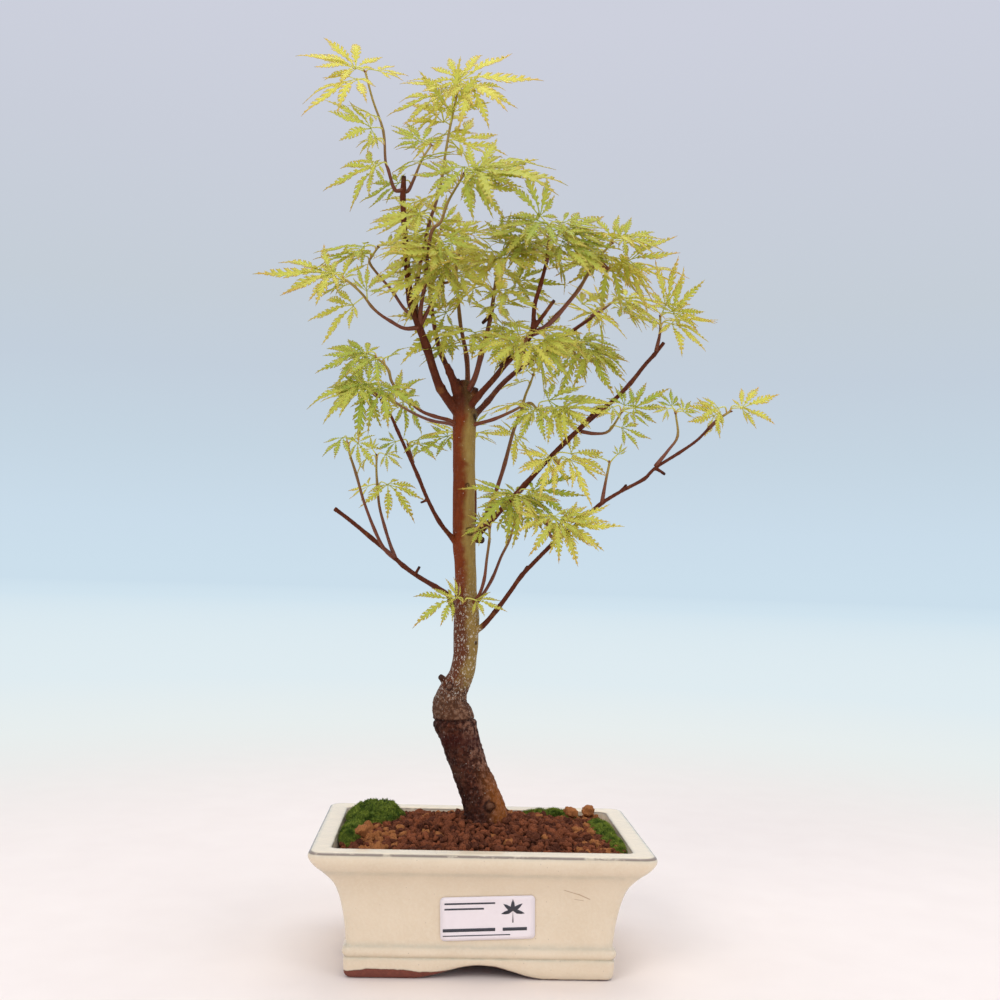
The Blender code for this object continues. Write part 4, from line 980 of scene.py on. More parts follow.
def add_lobule(points, faces, ribs, foot, side, turn, reach):
    """A pointed side lobule on the midrib's edge, with a saw tooth on its outer side."""
    low, high = Vector(points[foot[0]]), Vector(points[foot[1]])
    ahead = Vector((math.cos(turn), side * math.sin(turn)))
    out = Vector((-math.sin(turn), side * math.cos(turn)))
    wide = (high - low).length * 0.58
    start = (low + high) / 2
    at = len(points)
    if reach < TOOTH_LEAST * wide:
        points.append(tuple(start + ahead * reach))
        ribs.append(1.0)
        faces.append((foot[0], at, foot[1]))
        return
    for share, outer, inner in ((0.32, 0.9, 0.75), (0.62, 0.62, 0.5)):
        middle = start + ahead * reach * share
        points.extend([tuple(middle + out * wide * outer), tuple(middle - out * wide * inner)])
        ribs.extend([0.8, 0.7])
    points.append(tuple(start + ahead * reach * 0.6 + out * wide * 1.25))
    points.append(tuple(start + ahead * reach))
    ribs.extend([1.0, 1.0])
    o1, i1, o2, i2, tooth, end = range(at, at + 6)
    faces.extend([(foot[0], o1, i1, foot[1]), (o1, o2, i2, i1), (o1, tooth, o2), (o2, end, i2)])


def add_leaf(shape, base, along, normal, length, shake, tone, tan):
    """A cut leaf: lobes that fan out from its base, folded along their ribs and drooping."""
    side = normal.cross(along).normalized()
    sag = shake.uniform(0.04, 0.26)
    for angle, share in LOBES:
        if share < SMALL_LOBE and (length < SMALL_LEAF or shake.random() < 0.3):
            continue
        size = length * share * shake.uniform(0.86, 1.08)
        turn = math.radians(angle + shake.uniform(-7, 7))
        bend = shake.uniform(-0.12, 0.12)
        droop = sag + shake.uniform(-0.06, 0.16)
        lift = shake.uniform(-0.08, 0.14)
        fold, curl = shake.uniform(0.2, 0.5), shake.uniform(0.8, 2.2)
        outline, faces, ribs = lobe_outline(size, shake)
        points, reach = [], []
        for u, v in outline:
            share_out = u / size
            v_in = v + bend * size * share_out ** 2
            out = math.cos(turn) * u - math.sin(turn) * v_in
            aside = math.sin(turn) * u + math.cos(turn) * v_in
            rise = fold * abs(v) - curl * v * v / size + lift * u - droop * size * share_out ** 2.2
            rise += 0.02 * size * math.sin(share_out * 8 + angle)
            points.append(base + along * out + side * aside + normal * rise)
            reach.append(share_out)
        shape.add(points, faces, tone=tone, tan=tan, reach=reach, rib=ribs)


def nearest_on(routes, point):
    return min((spot for route in routes for spot in route), key=lambda spot: (spot - point).length)


def blade_frame(base, tip, shake):
    """The direction of the middle lobe, and the blade's upper side, which faces up and outward."""
    along = (tip - base).normalized()
    outward = Vector((base.x + 15, base.y, 0.0)) * 0.0048
    face = outward + Vector((0.0, -0.8, 0.75)) + jitter(shake, 0.35)
    normal = face - along * face.dot(along)
    if normal.length < 0.2:
        normal = along.orthogonal()
    return along, normal.normalized()


# Leaves added to a shoot for the crown's fullness, beside those that the CAD model has
EXTRA_LEAVES = {
    "shoot_top_left": 2, "shoot_top_inner": 2, "shoot_inner_spur": 9, "shoot_top_middle": 9,
    "shoot_top_right": 10, "shoot_far_left": 1, "shoot_left_spur": 1, "shoot_back_upper": 4,
    "shoot_centre_back": 13, "shoot_centre_front": 16, "shoot_right_upper": 12,
    "shoot_right_outer": 7, "shoot_right_back": 5, "shoot_right_front": 10,
    "shoot_right_hanging": 8, "shoot_branch_end": 1, "shoot_left_upper": 2, "shoot_left_back": 2,
    "shoot_centre_right": 2, "shoot_middle_low": 3, "shoot_middle_high": 3, "shoot_back": 3,
    "shoot_middle_right": 1, "shoot_low_right_inner": 2, "shoot_low_right_end": 1,
    "shoot_right_spur": 1,
}
TRIES_EACH, LEAF_GAP, BOX_MARGIN = 30, 10, 9.0
CROWN_MIDDLE = Vector((0.0, 5.0))
TRUNK_TOP, TRUNK_CLEAR = 318.0, 17.0  # below this height, leaves stay this far off the trunk's line
BACK_EDGE, BACK_SHARE = 85.0, 0.8  # leaves behind this line are smaller, by this share


TWIG_TIP, TWIG_SIDES = 0.62, 8
STALK_START, STALK_END, STALK_SIDES = 0.5, 0.34, 6
STALK_LEAST, STALK_ADDED = 7, 8  # a leaf nearer its twig than this is moved out by this


def inside_box(point, margin):
    spot = place(point)
    low, high = (Vector(corner) for corner in CAD_BOX)
    return all(low[i] + margin * MM < spot[i] < high[i] - margin * MM for i in range(3))


def hides_trunk(middle):
    return middle.z < TRUNK_TOP and abs(middle.x - TRUNK[-4][0][0]) < TRUNK_CLEAR


def extra_leaves(routes, count, known, shake):
    """Leaves on free stretches of the twigs, pointing outward and clear of the known ones."""
    found = []
    known = [Vector(base).lerp(Vector(tip), 0.5) for base, tip in known]
    for _ in range(count * TRIES_EACH):
        if len(found) == count:
            break
        route = shake.choice(routes)
        root = route[int((0.35 + 0.65 * shake.random()) * (len(route) - 1))]
        out = Vector((root.x, root.y)) - CROWN_MIDDLE
        turn = math.atan2(out.y, out.x) + shake.gauss(0, 1.0)
        heading = Vector((math.cos(turn), math.sin(turn), shake.uniform(-0.2, 0.5))).normalized()
        base = root + heading * shake.uniform(7, 14)
        tip = base + (heading - Vector((0, 0, 0.35))).normalized() * shake.uniform(23, 35)
        middle = base.lerp(tip, 0.5)
        if hides_trunk(middle) or not inside_box(tip, BOX_MARGIN):
            continue
        if any((middle - spot).length < LEAF_GAP for spot in known):
            continue
        known.append(middle)
        found.append((base, tip))
    return found


def build_shoot(name, shoot, paints, shake):
    """A young shoot: one piece each for its twigs, its leaves and their stalks."""
    twigs, stalks = Shape("young"), Shape("young")
    blades = Shape("tone", "tan", "reach", "rib")
    routes = []
    for route in shoot.twigs:
        points, radii = branch_tube(route, shoot.radius, TWIG_TIP, steps=4, collar=0.3)
        routes.append(points)
        spots, faces, shares = tube(points, radii, TWIG_SIDES)
        twigs.add(spots, faces, young=shares)
        add_buds(twigs, points[-1], points[-1] - points[-3], shake)
    mood = shake.uniform(0.15, 0.85)
    more = extra_leaves(routes, EXTRA_LEAVES.get(name, 0), shoot.leaves, shake)
    for base, tip in shoot.leaves + more:
        base, tip = Vector(base), Vector(tip)
        along, normal = blade_frame(base, tip, shake)
        root = nearest_on(routes, base)
        if (base - root).length < STALK_LEAST:
            base = root + Vector((along.x, along.y, 0.3)).normalized() * STALK_ADDED
        tone = clamp(mood + shake.uniform(-0.3, 0.3))
        length = (tip - base).length * (BACK_SHARE if base.y > BACK_EDGE else 1.0)
        add_leaf(blades, base, along, normal, length, shake, tone, shake.uniform(0.5, 1.0))
        bend = root.lerp(base, 0.5) - along * 2 + Vector((0, 0, 1.6))
        line = smooth_route([root, bend, base + along * 0.8], 5)
        spots, faces, shares = tube(line, taper(len(line), STALK_START, STALK_END), STALK_SIDES)
        stalks.add(spots, faces, young=shares)
    leaves = blades.build(name + "_leaves", paints["leaf"])
    thicken(leaves, LEAF_THICK)
    finish_piece(leaves, "leaves", name)
    finish_piece(stalks.build(name + "_stalks", paints["stalk"]), "leaves")
    finish_piece(twigs.build(name + "_twig", paints["twig"]), "branch_bark")


def add_buds(shape, spot, heading, shake):
    """A pair of small pointed buds at a twig's end."""
    heading = heading.normalized()
    side = heading.orthogonal().normalized()
    for way in (-1, 1):
        lean = (heading + side * way * 0.7).normalized()
        line = [spot, spot + lean * 0.9, spot + lean * 1.9]
        points, faces, _ = tube(line, [0.55, 0.6, 0.12], 6)
        shape.add(points, faces, young=shake.uniform(0.1, 0.3))


# ---------------------------------------------------------------- pot

CORNER_RADIUS, LEAST_RADIUS = 7.0, 2.6
END_FLARE, FLARE_FROM, FLARE_TO = 2.5, 50.0, 66.0  # extra flare of the two ends, and its heights
# The pot's section from under its floor, out over the foot, up the wall, over the rim and down
# inside: (height, distance in from the rim's edge, and how far the glaze turns blue-grey there:
# thinner glaze on the rim's edges, and painted shade in the grooves and under the lip)
SECTION = [
    (8.5, 29.5, 0), (8.3, 27.4, 0), (7.4, 26.6, 0), (4.0, 26.3, 0), (1.2, 26.2, 0), (0.35, 25.9, 0),
    (0.0, 25.2, 0), (0.0, 20.8, 0), (0.12, 20.0, 0), (0.5, 19.1, 0), (1.1, 18.4, 0.2),
    (2.0, 17.9, 0.3), (3.3, 17.5, 0.1), (5.2, 17.25, 0), (7.5, 17.1, 0), (9.4, 17.0, 0.1),
    (10.3, 17.05, 0.4), (10.8, 17.3, 0.9), (11.15, 17.65, 0.95), (11.5, 17.55, 0.8),
    (12.0, 17.0, 0.3), (12.9, 16.5, 0), (14.1, 16.25, 0), (15.3, 16.35, 0.1), (16.1, 16.7, 0.3),
    (16.7, 17.3, 0.7), (17.2, 17.8, 0.8), (17.8, 17.98, 0.6), (18.8, 18.0, 0.3), (20.5, 17.9, 0),
    (24.0, 17.6, 0), (28.0, 17.1, 0), (32.0, 16.5, 0), (36.0, 15.75, 0), (40.0, 14.85, 0),
    (44.0, 13.75, 0), (48.0, 12.3, 0), (51.0, 10.85, 0), (54.0, 8.9, 0), (56.2, 7.1, 0.2),
    (57.6, 5.9, 0.55), (58.6, 4.9, 0.5), (59.8, 3.7, 0.15), (61.4, 2.4, 0), (62.8, 1.45, 0),
    (64.2, 0.7, 0), (65.6, 0.2, 0), (66.8, 0.0, 0.1), (67.7, 0.12, 0.4), (68.4, 0.42, 0.9),
    (68.95, 0.95, 1.0), (69.3, 1.6, 0.75), (69.52, 2.5, 0.3), (69.6, 3.6, 0), (69.5, 6.5, 0),
    (69.55, 9.6, 0), (69.5, 10.7, 0.2), (69.2, 11.4, 0.7), (68.7, 11.85, 0.9), (67.8, 12.1, 0.6),
    (66.0, 12.35, 0.1), (63.4, 12.8, 0), (62.6, 13.1, 0.6), (62.1, 13.6, 1.0), (61.6, 14.3, 0.6),
    (60.8, 14.7, 0.1), (57.0, 15.5, 0), (50.0, 17.4, 0), (40.0, 20.9, 0), (28.0, 23.3, 0),
    (17.0, 24.7, 0), (14.4, 25.6, 0), (13.5, 28.0, 0),
]
UNDER_ROWS = 7  # rows of the section that lie under the floor, inside the foot ring
OUTER_ROWS = 54  # rows of the section up to the inner edge of the rim
FLOOR_UNDERSIDE, ARCH_ROOM = 8.5, 11.0  # the arches bend the wall below these, inside and outside
WALL_RANGE = (12, 62)
FRONT_ARCH, END_ARCH = (37.0, 7.2), (20.0, 5.2)  # half width and height
DRAIN_HOLE_X, DRAIN_HOLE = 34.0, 15.0


def pot_loop(inset, height):
    """A rounded rectangle of points at this height, set in from the rim's edge."""
    below = clamp((FLARE_TO - height) / (FLARE_TO - FLARE_FROM))
    half_x, half_y = RIM_LENGTH / 2 - inset - END_FLARE * below, RIM_WIDTH / 2 - inset
    radius = max(CORNER_RADIUS - 0.2 * inset, LEAST_RADIUS)
    loop = rounded_rectangle(half_x, half_y, radius, 8, (34, 48))
    return [Vector((x, y, height)) for x, y in loop]


def arch_rise(point, half_length, half_width):
    """How far the foot's edge is lifted at a point by the arches in the four sides."""
    on_long_side = abs(point.y) / half_width > abs(point.x) / half_length
    half, height = FRONT_ARCH if on_long_side else END_ARCH
    share = abs(point.x if on_long_side else point.y) / half
    return height * (1 + math.cos(math.pi * share)) / 2 if share < 1 else 0.0


def build_pot(paint):
    """The pot's whole skin from its section, with arches in its foot and two drain holes."""
    shape = Shape("thin", "rise")
    for row, (height, inset, thin) in enumerate(SECTION):
        half_x, half_y = RIM_LENGTH / 2 - inset, RIM_WIDTH / 2 - inset
        points, rise, veil = pot_loop(inset, height), [], []
        ceiling = FLOOR_UNDERSIDE if row < UNDER_ROWS else ARCH_ROOM
        for spot in points:
            lift = arch_rise(spot, half_x, half_y)
            if height < ceiling and row < len(SECTION) / 2:
                spot.z = lift + height * (ceiling - lift) / ceiling
            wave = noise.noise(Vector((spot.x, spot.y, height * 1.5)) * 0.028)
            if height > 3:
                spot.x += 0.35 * wave * spot.x / RIM_LENGTH
                spot.y += 0.35 * wave * spot.y / RIM_WIDTH
            # The glaze ends higher on the front's left, so that a wedge of clay shows there
            wedge = clamp((-spot.x - 16) / 24) if spot.y < 0 else 0.3 + 0.3 * wave
            wedge *= 1 - 0.4 * clamp((-spot.x - 60) / 14)
            bare = 0.6 + 4.8 * wedge if 0 < height < ARCH_ROOM else 0.0
            # Painted shade: the wall's rounded corners get a blue-grey veil, added to the glaze's
            # numbers
            corner = min(abs(spot.x) / half_x, abs(spot.y) / half_y)
            on_wall_face = WALL_RANGE[0] < height < WALL_RANGE[1]
            veil.append(min(thin + (0.35 * corner ** 14 if on_wall_face else 0.0), 1.0))
            rise.append(-5.0 if row < UNDER_ROWS + 1 else spot.z - lift - bare)
        shape.add(points, [], thin=veil, rise=rise)
    shape.faces = loft(len(SECTION), len(points))
    pot = shape.build("glazed_pot", paint)
    cutters = []
    for side in (-1, 1):
        bm = bmesh.new()
        bmesh.ops.create_cone(
            bm, cap_ends=True, segments=48, radius1=DRAIN_HOLE / 2 * MM,
            radius2=DRAIN_HOLE / 2 * MM, depth=20 * MM,
            matrix=Matrix.Translation(place((side * DRAIN_HOLE_X, 0, 11))),
        )
        cutters.append(new_object("hole", from_bmesh(bm, "hole")))
        cut = pot.modifiers.new("hole", "BOOLEAN")
        cut.operation, cut.solver, cut.object = "DIFFERENCE", "EXACT", cutters[-1]
    pot.data = evaluated_mesh(pot)
    pot.modifiers.clear()
    pot.data.set_sharp_from_angle(angle=math.radians(50))
    for cutter in cutters:
        bpy.data.objects.remove(cutter)
    finish_piece(pot, "glaze", "pot")


def wall_inset(height):
    """How far the outer wall lies in from the rim's edge at a height."""
    outside = [(z, inset) for z, inset, _ in SECTION[UNDER_ROWS:OUTER_ROWS]]
    heights, insets = zip(*sorted(outside))
    return float(np.interp(height, heights, insets))


# ---------------------------------------------------------------- label

LABEL_SIZE, LABEL_CENTRE = (50.7, 24.0), (3.4, 33.4)
LABEL_TILT = math.radians(2.5)
LABEL_RADIUS = 2.4
# How far the label's back, its face and its ink stand out from the wall
LABEL_BACK, LABEL_OUT, INK_OUT = 0.3, 0.75, 0.87
LABEL_RINGS = (1.0, 0.85, 0.7, 0.55, 0.4, 0.25, 0.1)
INK_THICK = 0.06
# Plain printed bars: middle along and up, width and height
BARS = [(-9.5, 8.2, 27.0, 0.9), (-12.5, 5.2, 21.0, 0.9), (-10.0, -6.4, 28.0, 1.7),
        (14.5, -6.4, 13.0, 1.7), (-6.0, -9.4, 36.0, 0.5)]
BAR_STEPS = 10


def on_wall(u, v, out):
    """A point of the label, u along and v up from its middle, standing out from the front wall."""
    x = LABEL_CENTRE[0] + u * math.cos(LABEL_TILT) - v * math.sin(LABEL_TILT)
    z = LABEL_CENTRE[1] + u * math.sin(LABEL_TILT) + v * math.cos(LABEL_TILT)
    return Vector((x, -(RIM_WIDTH / 2 - wall_inset(z)) - out, z))


def label_loop(share, out):
    """The label's outline, shrunk to a share of its size and standing out from the wall."""
    half_u, half_v = LABEL_SIZE[0] / 2 * share, LABEL_SIZE[1] / 2 * share
    loop = rounded_rectangle(half_u, half_v, LABEL_RADIUS * share, 6, (12, 12))
    return [on_wall(u, v, out) for u, v in loop]


def build_label(paint, ink):
    """A blank paper label that follows the wall, with plain bars and a leaf sign on it."""
    shape = Shape()
    rings = [(share, LABEL_BACK) for share in LABEL_RINGS[::-1]]
    rings += [(share, LABEL_OUT) for share in LABEL_RINGS]
    for share, out in rings:
        shape.add(label_loop(share, out), [])
    shape.faces = loft(len(rings), len(shape.points) // len(rings))
    finish_piece(shape.build("blank_label", paint), "label", "label")
    marks = Shape()
    for u, v, width, height in BARS:
        points = []
        for k in range(BAR_STEPS + 1):
            across = u - width / 2 + width * k / BAR_STEPS
            points += [on_wall(across, v + up, INK_OUT) for up in (-height / 2, height / 2)]
        faces = [(2 * k, 2 * k + 2, 2 * k + 3, 2 * k + 1) for k in range(BAR_STEPS)]
        marks.add(points, faces)
    add_leaf_sign(marks, 13.5, 3.6, 13.0)
    printed = marks.build("label_marks", ink)
    thicken(printed, INK_THICK)
    finish_piece(printed, "label")


def add_leaf_sign(shape, u, v, size):
    """A plain five-fingered leaf sign, as the label's picture."""

    def at(angle, reach):
        out = size * reach
        return on_wall(u + out * math.cos(angle), v + out * math.sin(angle), INK_OUT)

    points = [on_wall(u, v, INK_OUT)]
    for k in range(5):
        angle = math.radians(90 + (k - 2) * 52)
        for turn, reach in ((-0.42, 0.2), (-0.16, 0.36), (0.0, 0.5), (0.16, 0.36)):
            points.append(at(angle + turn, reach))
    points.append(at(angle + 0.42, 0.2))
    points += [on_wall(u + way * 0.3, v - size * 0.5, INK_OUT) for way in (-1, 1)]
    count = len(points)
    faces = [(0, k, k + 1) for k in range(1, count - 3)]
    shape.add(points, faces + [(0, count - 2, count - 1)])


# ---------------------------------------------------------------- soil, moss and drains

SOIL_EDGE, SOIL_RISE = 65.0, 10.5
MOUND_CENTRE, MOUND_SPREAD = (4.0, 1.0), (44.0, 28.0)
SOIL_HALF = (79.0, 51.5)
# The bed's side under its top: height, and distance in from the rim's edge
BED_SIDE = [(14.0, 25.8), (28.0, 24.1), (40.0, 21.7), (50.0, 18.0), (61.0, 15.6),
            (SOIL_EDGE - 1.2, 13.6)]
BED_RINGS, BED_DEPTH = 24, 1.6  # rings of the bed's top, and how far it lies under the grains
GRAINS, GRAIN_TRIES = 1300, 50000
SMALL_GRAIN, TAN_GRAIN = (1.0, 4.0, 2.3), (1.8, 4.4, 2.8)  # radius: least, most and commonest
FINE_GRAIN = 2.6  # grains larger than this get a finer mesh
GRAIN_STRETCH = ((0.85, 1.3), (0.7, 1.1), (0.6, 0.95))
TRUNK_FOOT, FOOT_RADIUS = Vector((3.0, 2.0)), 12.5


def soil_height(x, y):
    dx = (x - MOUND_CENTRE[0]) / MOUND_SPREAD[0]
    dy = (y - MOUND_CENTRE[1]) / MOUND_SPREAD[1]
    return SOIL_EDGE + SOIL_RISE * math.exp(-(dx * dx + dy * dy) / 2)


def lump(centre, radius, shake, detail=1):
    """A crumbly grain: an icosphere, stretched, turned and roughened in two sizes."""
    bm = bmesh.new()
    bmesh.ops.create_icosphere(bm, subdivisions=detail, radius=1.0)
    spin = Matrix.Rotation(
        shake.uniform(0, 6.28), 3, Vector([shake.gauss(0, 1) for _ in range(3)]))
    stretch = Vector([shake.uniform(*span) for span in GRAIN_STRETCH])
    seed = Vector([shake.uniform(0, 90) for _ in range(3)])
    points = []
    for vert in bm.verts:
        rough = 0.5 * noise.noise(vert.co * 1.2 + seed) + 0.34 * noise.noise(vert.co * 2.9 + seed)
        points.append(Vector(centre) + spin @ (vert.co * stretch) * (1 + rough) * radius)
    faces = [tuple(v.index for v in face.verts) for face in bm.faces]
    bm.free()
    return points, faces


def build_soil(paint, shake):
    """A bed with a bumpy top, and loose granules lying two deep on it."""
    bed = Shape("tone", "warm")
    for height, inset in BED_SIDE:
        edge = pot_loop(inset, height)
        bed.add(edge, [])
    for ring in range(BED_RINGS):
        share = 0.97 - 0.04 * ring
        row = []
        for spot in edge:
            x, y = spot.x * share, spot.y * share
            bump = 1.3 * noise.noise(Vector((x, y, 3.0)) * 0.3)
            row.append(Vector((x, y, soil_height(x, y) - BED_DEPTH + bump)))
        bed.add(row, [])
    bed.faces = loft(len(BED_SIDE) + BED_RINGS, len(edge))
    finish_piece(bed.build("soil_bed", paint), "soil", "soil")
    small, large = Shape("tone", "warm"), Shape("tone", "warm")
    taken, tries = [], 0
    while len(taken) < GRAINS and tries < GRAIN_TRIES:
        tries += 1
        x, y = (shake.uniform(-half, half) for half in SOIL_HALF)
        tan = shake.random() < tan_share(x, y)
        radius = shake.triangular(*(TAN_GRAIN if tan else SMALL_GRAIN))
        if abs(x) > SOIL_HALF[0] - radius or abs(y) > SOIL_HALF[1] - radius:
            continue
        spot = Vector((x, y, soil_height(x, y) + shake.uniform(-1.0, 1.2) - 0.3 * radius))
        if (Vector((x, y)) - TRUNK_FOOT).length < FOOT_RADIUS + 0.4 * radius:
            continue
        if any((spot - other).length < 0.7 * (radius + size) for other, size in taken):
            continue
        taken.append((spot, radius))
        points, faces = lump(spot, radius, shake, detail=3 if radius > FINE_GRAIN else 2)
        (large if tan else small).add(points, faces, tone=shake.random(), warm=float(tan))
    finish_piece(small.build("clay_granules", paint), "soil")
    finish_piece(large.build("coarse_granules", paint), "clay_grain")


def tan_share(x, y):
    """How likely a grain is one of the large tan ones: mostly in the front left and by the ends."""
    front_left = 0.75 * math.exp(-(((x + 66) / 16) ** 2 + ((y + 22) / 24) ** 2))
    back_left = 0.6 * math.exp(-(((x + 16) / 16) ** 2 + ((y - 34) / 10) ** 2))
    right = 0.5 * math.exp(-(((x - 66) / 12) ** 2))
    return 0.012 + max(front_left, back_left, right)


def build_marked_grains(paint, shake):
    """The three loose grains that are parts of their own, each filling its CAD node's box."""
    for node in ("rim_grain", "clay_grain_left", "clay_grain_right"):
        low, high = ((corner - POT_MIDDLE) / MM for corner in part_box(node))
        points, faces = lump((0, 0, 0), 1.0, shake, detail=3)
        spans = [(min(p[axis] for p in points), max(p[axis] for p in points)) for axis in range(3)]
        points = [
            Vector([low[axis] + (high[axis] - low[axis]) * (p[axis] - least) / (most - least)
                    for axis, (least, most) in enumerate(spans)])
            for p in points
        ]
        shape = Shape("tone", "warm")
        shape.add(points, faces, tone=0.6, warm=1.0)
        finish_piece(shape.build(node + "_rough", paint), "clay_grain", node)


# Moss cushions that are CAD nodes: height and number of tufts
CUSHIONS = {"moss_left": (9.5, 3400), "moss_back": (4.5, 1500), "moss_right": (4.0, 1300)}
# Low moss that runs on along the pot's inner ends: middle, half size and height
MOSS_TAILS = {
    "moss_left_tail": ((-73.2, -9.0), (6.2, 25.0), 5.0),
    "moss_right_tail": ((76.2, -25.0), (3.4, 15.0), 3.0),
}
TAIL_TUFTS = 1500
MOSS_SQUARE, MOSS_CORNER = 2.6, 0.77  # how square a cushion is: 2 and 1 would make an ellipse
MOSS_RINGS, MOSS_AROUND = 12, 40
MOSS_LEAF, MOSS_LEAF_HALF = (1.1, 2.1), 0.26


def build_moss(name, middle, half, base, paint, shake, height, tufts, *nodes):
    """A moss cushion: a soft mound under hundreds of small pointed leaves."""

    def top(x, y):
        across = abs(x / half.x) ** MOSS_SQUARE + abs(y / half.y) ** MOSS_SQUARE
        if across >= 1:
            return None
        swell = noise.noise(Vector((x + middle.x, y + middle.y, 5.0)) * 0.22)
        swell += 0.6 * noise.noise(Vector((x + middle.x, y + middle.y, 9.0)) * 0.55)
        return (1 - across) ** 0.5 * height * (1 + 0.35 * swell)

    def surface(x, y, rise):
        ground = max(soil_height(x + middle.x, y + middle.y), base) - 1.0
        return Vector((middle.x + x, middle.y + y, ground + rise))

    mound = Shape("tone")
    for ring in range(MOSS_RINGS + 1):
        share = 1 - ring / MOSS_RINGS * 0.98
        row = []
        for k in range(MOSS_AROUND):
            turn = 2 * math.pi * k / MOSS_AROUND
            c, s = math.cos(turn), math.sin(turn)
            x = half.x * share * math.copysign(abs(c) ** MOSS_CORNER, c)
            y = half.y * share * math.copysign(abs(s) ** MOSS_CORNER, s)
            row.append(surface(x, y, top(x, y) or 0.0))
        mound.add(row, [], tone=0.25)
    mound.faces = loft(MOSS_RINGS + 1, MOSS_AROUND)
    finish_piece(mound.build(name + "_mound", paint), "moss", *nodes)
    fuzz = Shape("tone")
    for _ in range(tufts):
        x, y = shake.uniform(-half.x, half.x), shake.uniform(-half.y, half.y)
        rise = top(x, y)
        if rise is None:
            continue
        foot = surface(x, y, rise - 0.3)
        out = Vector((x / half.x ** 2, y / half.y ** 2, 0.09)).normalized()
        tone = shake.random()
        for _ in range(3):
            lean = (out + jitter(shake, 0.8)).normalized()
            lean.z = abs(lean.z)
            length = shake.uniform(*MOSS_LEAF)
            side = lean.orthogonal().normalized() * MOSS_LEAF_HALF
            other = lean.cross(side) * 0.87
            points = [foot + side, foot - side * 0.5 + other, foot - side * 0.5 - other,
                      foot + lean * length]
            fuzz.add(points, [(0, 2, 1), (0, 1, 3), (1, 2, 3), (2, 0, 3)],
                     tone=[tone * 0.5] * 3 + [0.3 + 0.7 * tone])
    finish_piece(fuzz.build(name + "_leaves", paint, smooth=False), "moss")


# ---------------------------------------------------------------- stage, lights and camera

# Colours of the floor away from the pot, by distance in metres, and of the air, by height
FLOOR_FADE = [(0.35, (243, 239, 233)), (0.7, (235, 239, 237)), (1.65, (224, 236, 241)),
              (8.0, (210, 228, 239)), (16.0, (204, 223, 236))]
AIR_FADE = [(0.0, (204, 223, 236)), (0.043, (202, 220, 234)), (0.11, (197, 213, 226)),
            (0.176, (195, 207, 220)), (0.24, (197, 206, 216)), (0.357, (201, 206, 218)),
            (0.46, (205, 208, 221))]
FLOOR_RADIUS = 40.0
TREE_MIDDLE = 0.26  # height in metres that the lights face


def fill_ramp(ramp, stops, reach):
    elements = ramp.color_ramp.elements
    while len(elements) < len(stops):
        elements.new(0.5)
    for element, (where, colour) in zip(elements, stops):
        element.position, element.color = where / reach, linear(*colour)


def build_stage():
    """A wide pale floor that takes light near the pot and fades into the air far from it."""
    paint = Paint("studio_paper", roughness=0.9, specular=0.1)
    spot = paint.point()
    paint.colour(paint.mix(paint.noise(spot, 40.0, 2.0), (240, 229, 221), (246, 236, 228)))
    length = paint.make("VectorMath", {0: spot})
    length.operation = "LENGTH"
    metres = paint.times(length.outputs["Value"], MM)
    far = FLOOR_FADE[-1][0]
    ramp = paint.make("ValToRGB", {0: paint.math("DIVIDE", metres, far)})
    fill_ramp(ramp, FLOOR_FADE, far)
    paint.blend(paint.band(metres, 0.25, 1.0), paint.make("Emission", {0: ramp.outputs[0]}))
    bm = bmesh.new()
    bmesh.ops.create_circle(bm, cap_ends=True, segments=96, radius=FLOOR_RADIUS)
    make_object("floor", from_bmesh(bm, "floor"), paint)


def area_light(name, where, size, power, colour):
    """A soft round light that faces the middle of the tree."""
    light = bpy.data.lights.new(name, "AREA")
    light.shape, light.size, light.energy, light.color = "DISK", size, power, colour
    obj = new_object(name, light)
    obj.location = where
    heart = POT_MIDDLE + Vector((0, 0, TREE_MIDDLE))
    obj.rotation_euler = (heart - Vector(where)).to_track_quat("-Z", "Y").to_euler()


def build_lights():
    """Three soft lights, and air that is pale below and blue-grey above."""
    area_light("key", (-0.9, -1.2, 1.3), 1.0, 11, (1.0, 0.97, 0.93))
    area_light("fill", (1.2, -1.0, 0.9), 1.2, 6, (1.0, 0.98, 0.96))
    area_light("top", (0.1, 0.3, 1.7), 1.2, 9, (1.0, 1.0, 1.0))
    world = bpy.data.worlds.new("studio")
    world.use_nodes = True
    nodes, links = world.node_tree.nodes, world.node_tree.links
    coords = nodes.new("ShaderNodeTexCoord")
    split = nodes.new("ShaderNodeSeparateXYZ")
    ramp = nodes.new("ShaderNodeValToRGB")
    links.new(coords.outputs["Generated"], split.inputs[0])
    links.new(split.outputs[2], ramp.inputs[0])
    fill_ramp(ramp, AIR_FADE, 1.0)
    links.new(ramp.outputs[0], nodes["Background"].inputs[0])
    bpy.context.scene.world = world


# The camera's place from the pot's middle in metres, its angles in degrees and its lens
CAMERA_AT = (-0.0279, -0.6517, 0.2153)
CAMERA_YAW, CAMERA_PITCH, CAMERA_ROLL = -2.93, 3.97, -1.81
CAMERA_LENS = 39.74


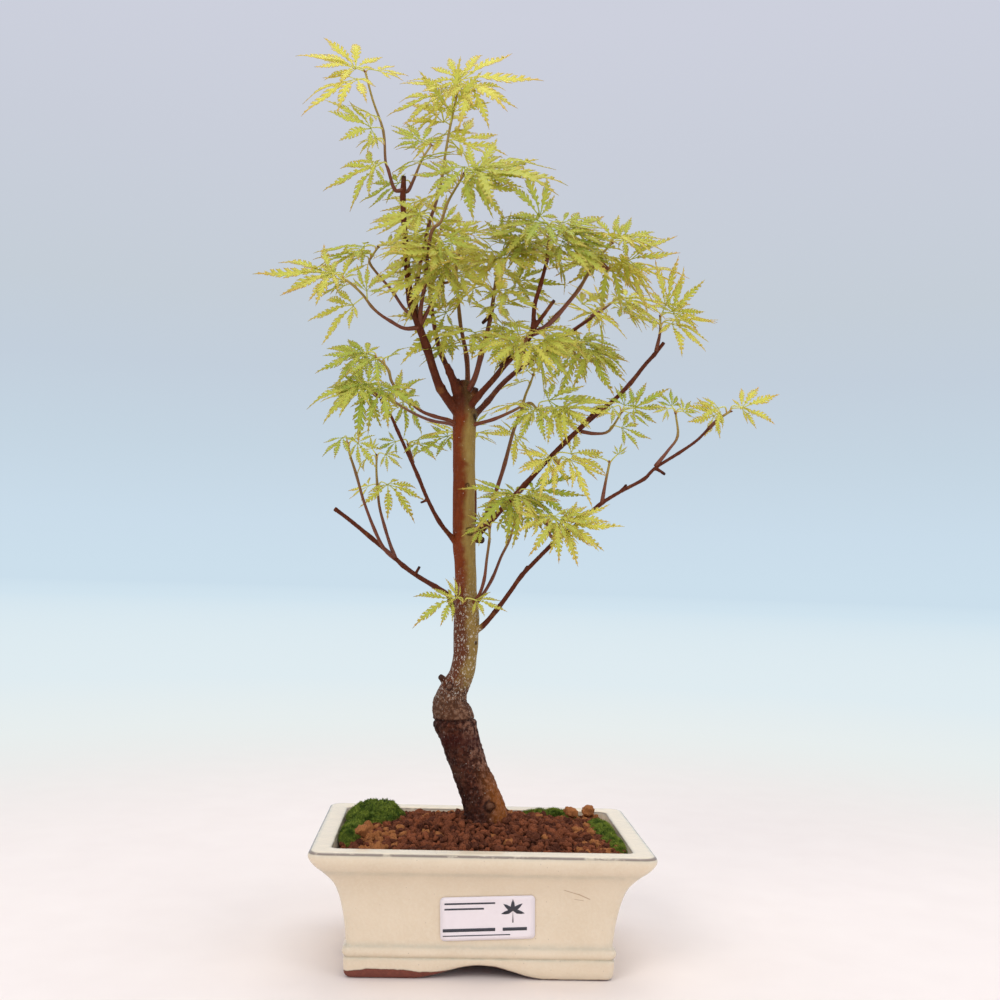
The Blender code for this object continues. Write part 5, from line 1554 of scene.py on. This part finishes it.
def build_camera():
    """A camera in front of the pot, turned about its three axes."""
    turn = (
        Matrix.Rotation(math.radians(CAMERA_YAW), 3, "Z")
        @ Matrix.Rotation(math.radians(CAMERA_PITCH), 3, "X")
        @ Matrix.Rotation(math.radians(CAMERA_ROLL), 3, "Y")
    )
    right, ahead, up = turn.col
    data = bpy.data.cameras.new("camera")
    data.lens, data.sensor_width = CAMERA_LENS, 36.0
    data.clip_start, data.clip_end = 0.01, 50.0
    camera = new_object("camera", data)
    facing = Matrix((right, up, -ahead)).transposed().to_4x4()
    camera.matrix_world = Matrix.Translation(POT_MIDDLE + Vector(CAMERA_AT)) @ facing
    bpy.context.scene.camera = camera


# ---------------------------------------------------------------- the scene

SEED = 11


def dress_drains(screen_paint, wire_paint):
    for word in ("left", "right"):
        for node, paint in (("drain_screen_", screen_paint), ("screen_wire_", wire_paint)):
            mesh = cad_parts[node + word].data
            mesh.materials.clear()
            mesh.materials.append(paint.material)


def main():
    """Builds every piece; the random draws run on from one seed through all of them."""
    shake = random.Random(SEED)
    bpy.context.scene.view_settings.view_transform = "Standard"
    build_camera()
    build_stage()
    build_lights()
    build_wood(bark_paint())
    paints = {"leaf": leaf_paint(), "stalk": stalk_paint(), "twig": twig_paint()}
    for name, shoot in SHOOTS.items():
        build_shoot(name, shoot, paints, shake)
    build_pot(glaze_paint())
    paper = plain_paint("label_paper", (240, 228, 230), (246, 236, 238), 3.0, 0.5, 0.02)
    ink = plain_paint("label_ink", (52, 52, 60), (70, 70, 78), 1.0, 0.6, 0.01)
    build_label(paper, ink)
    clay = clay_paint()
    build_soil(clay, shake)
    build_marked_grains(clay, shake)
    moss = moss_paint()
    for node, (height, tufts) in CUSHIONS.items():
        low, high = ((corner - POT_MIDDLE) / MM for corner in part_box(node))
        build_moss(node, (low + high) / 2, (high - low) / 2, low.z, moss, shake, height, tufts, node)
    for name, (middle, half, height) in MOSS_TAILS.items():
        build_moss(name, Vector(middle), Vector(half), SOIL_EDGE, moss, shake, height, TAIL_TUFTS)
    dress_drains(
        plain_paint("screen_net", (20, 28, 24), (40, 50, 44), 2.0, 0.5, 0.1),
        plain_paint("tie_wire", (150, 140, 130), (190, 182, 172), 1.0, 0.35, 0.05),
    )


main()
bpy.context.view_layer.update()
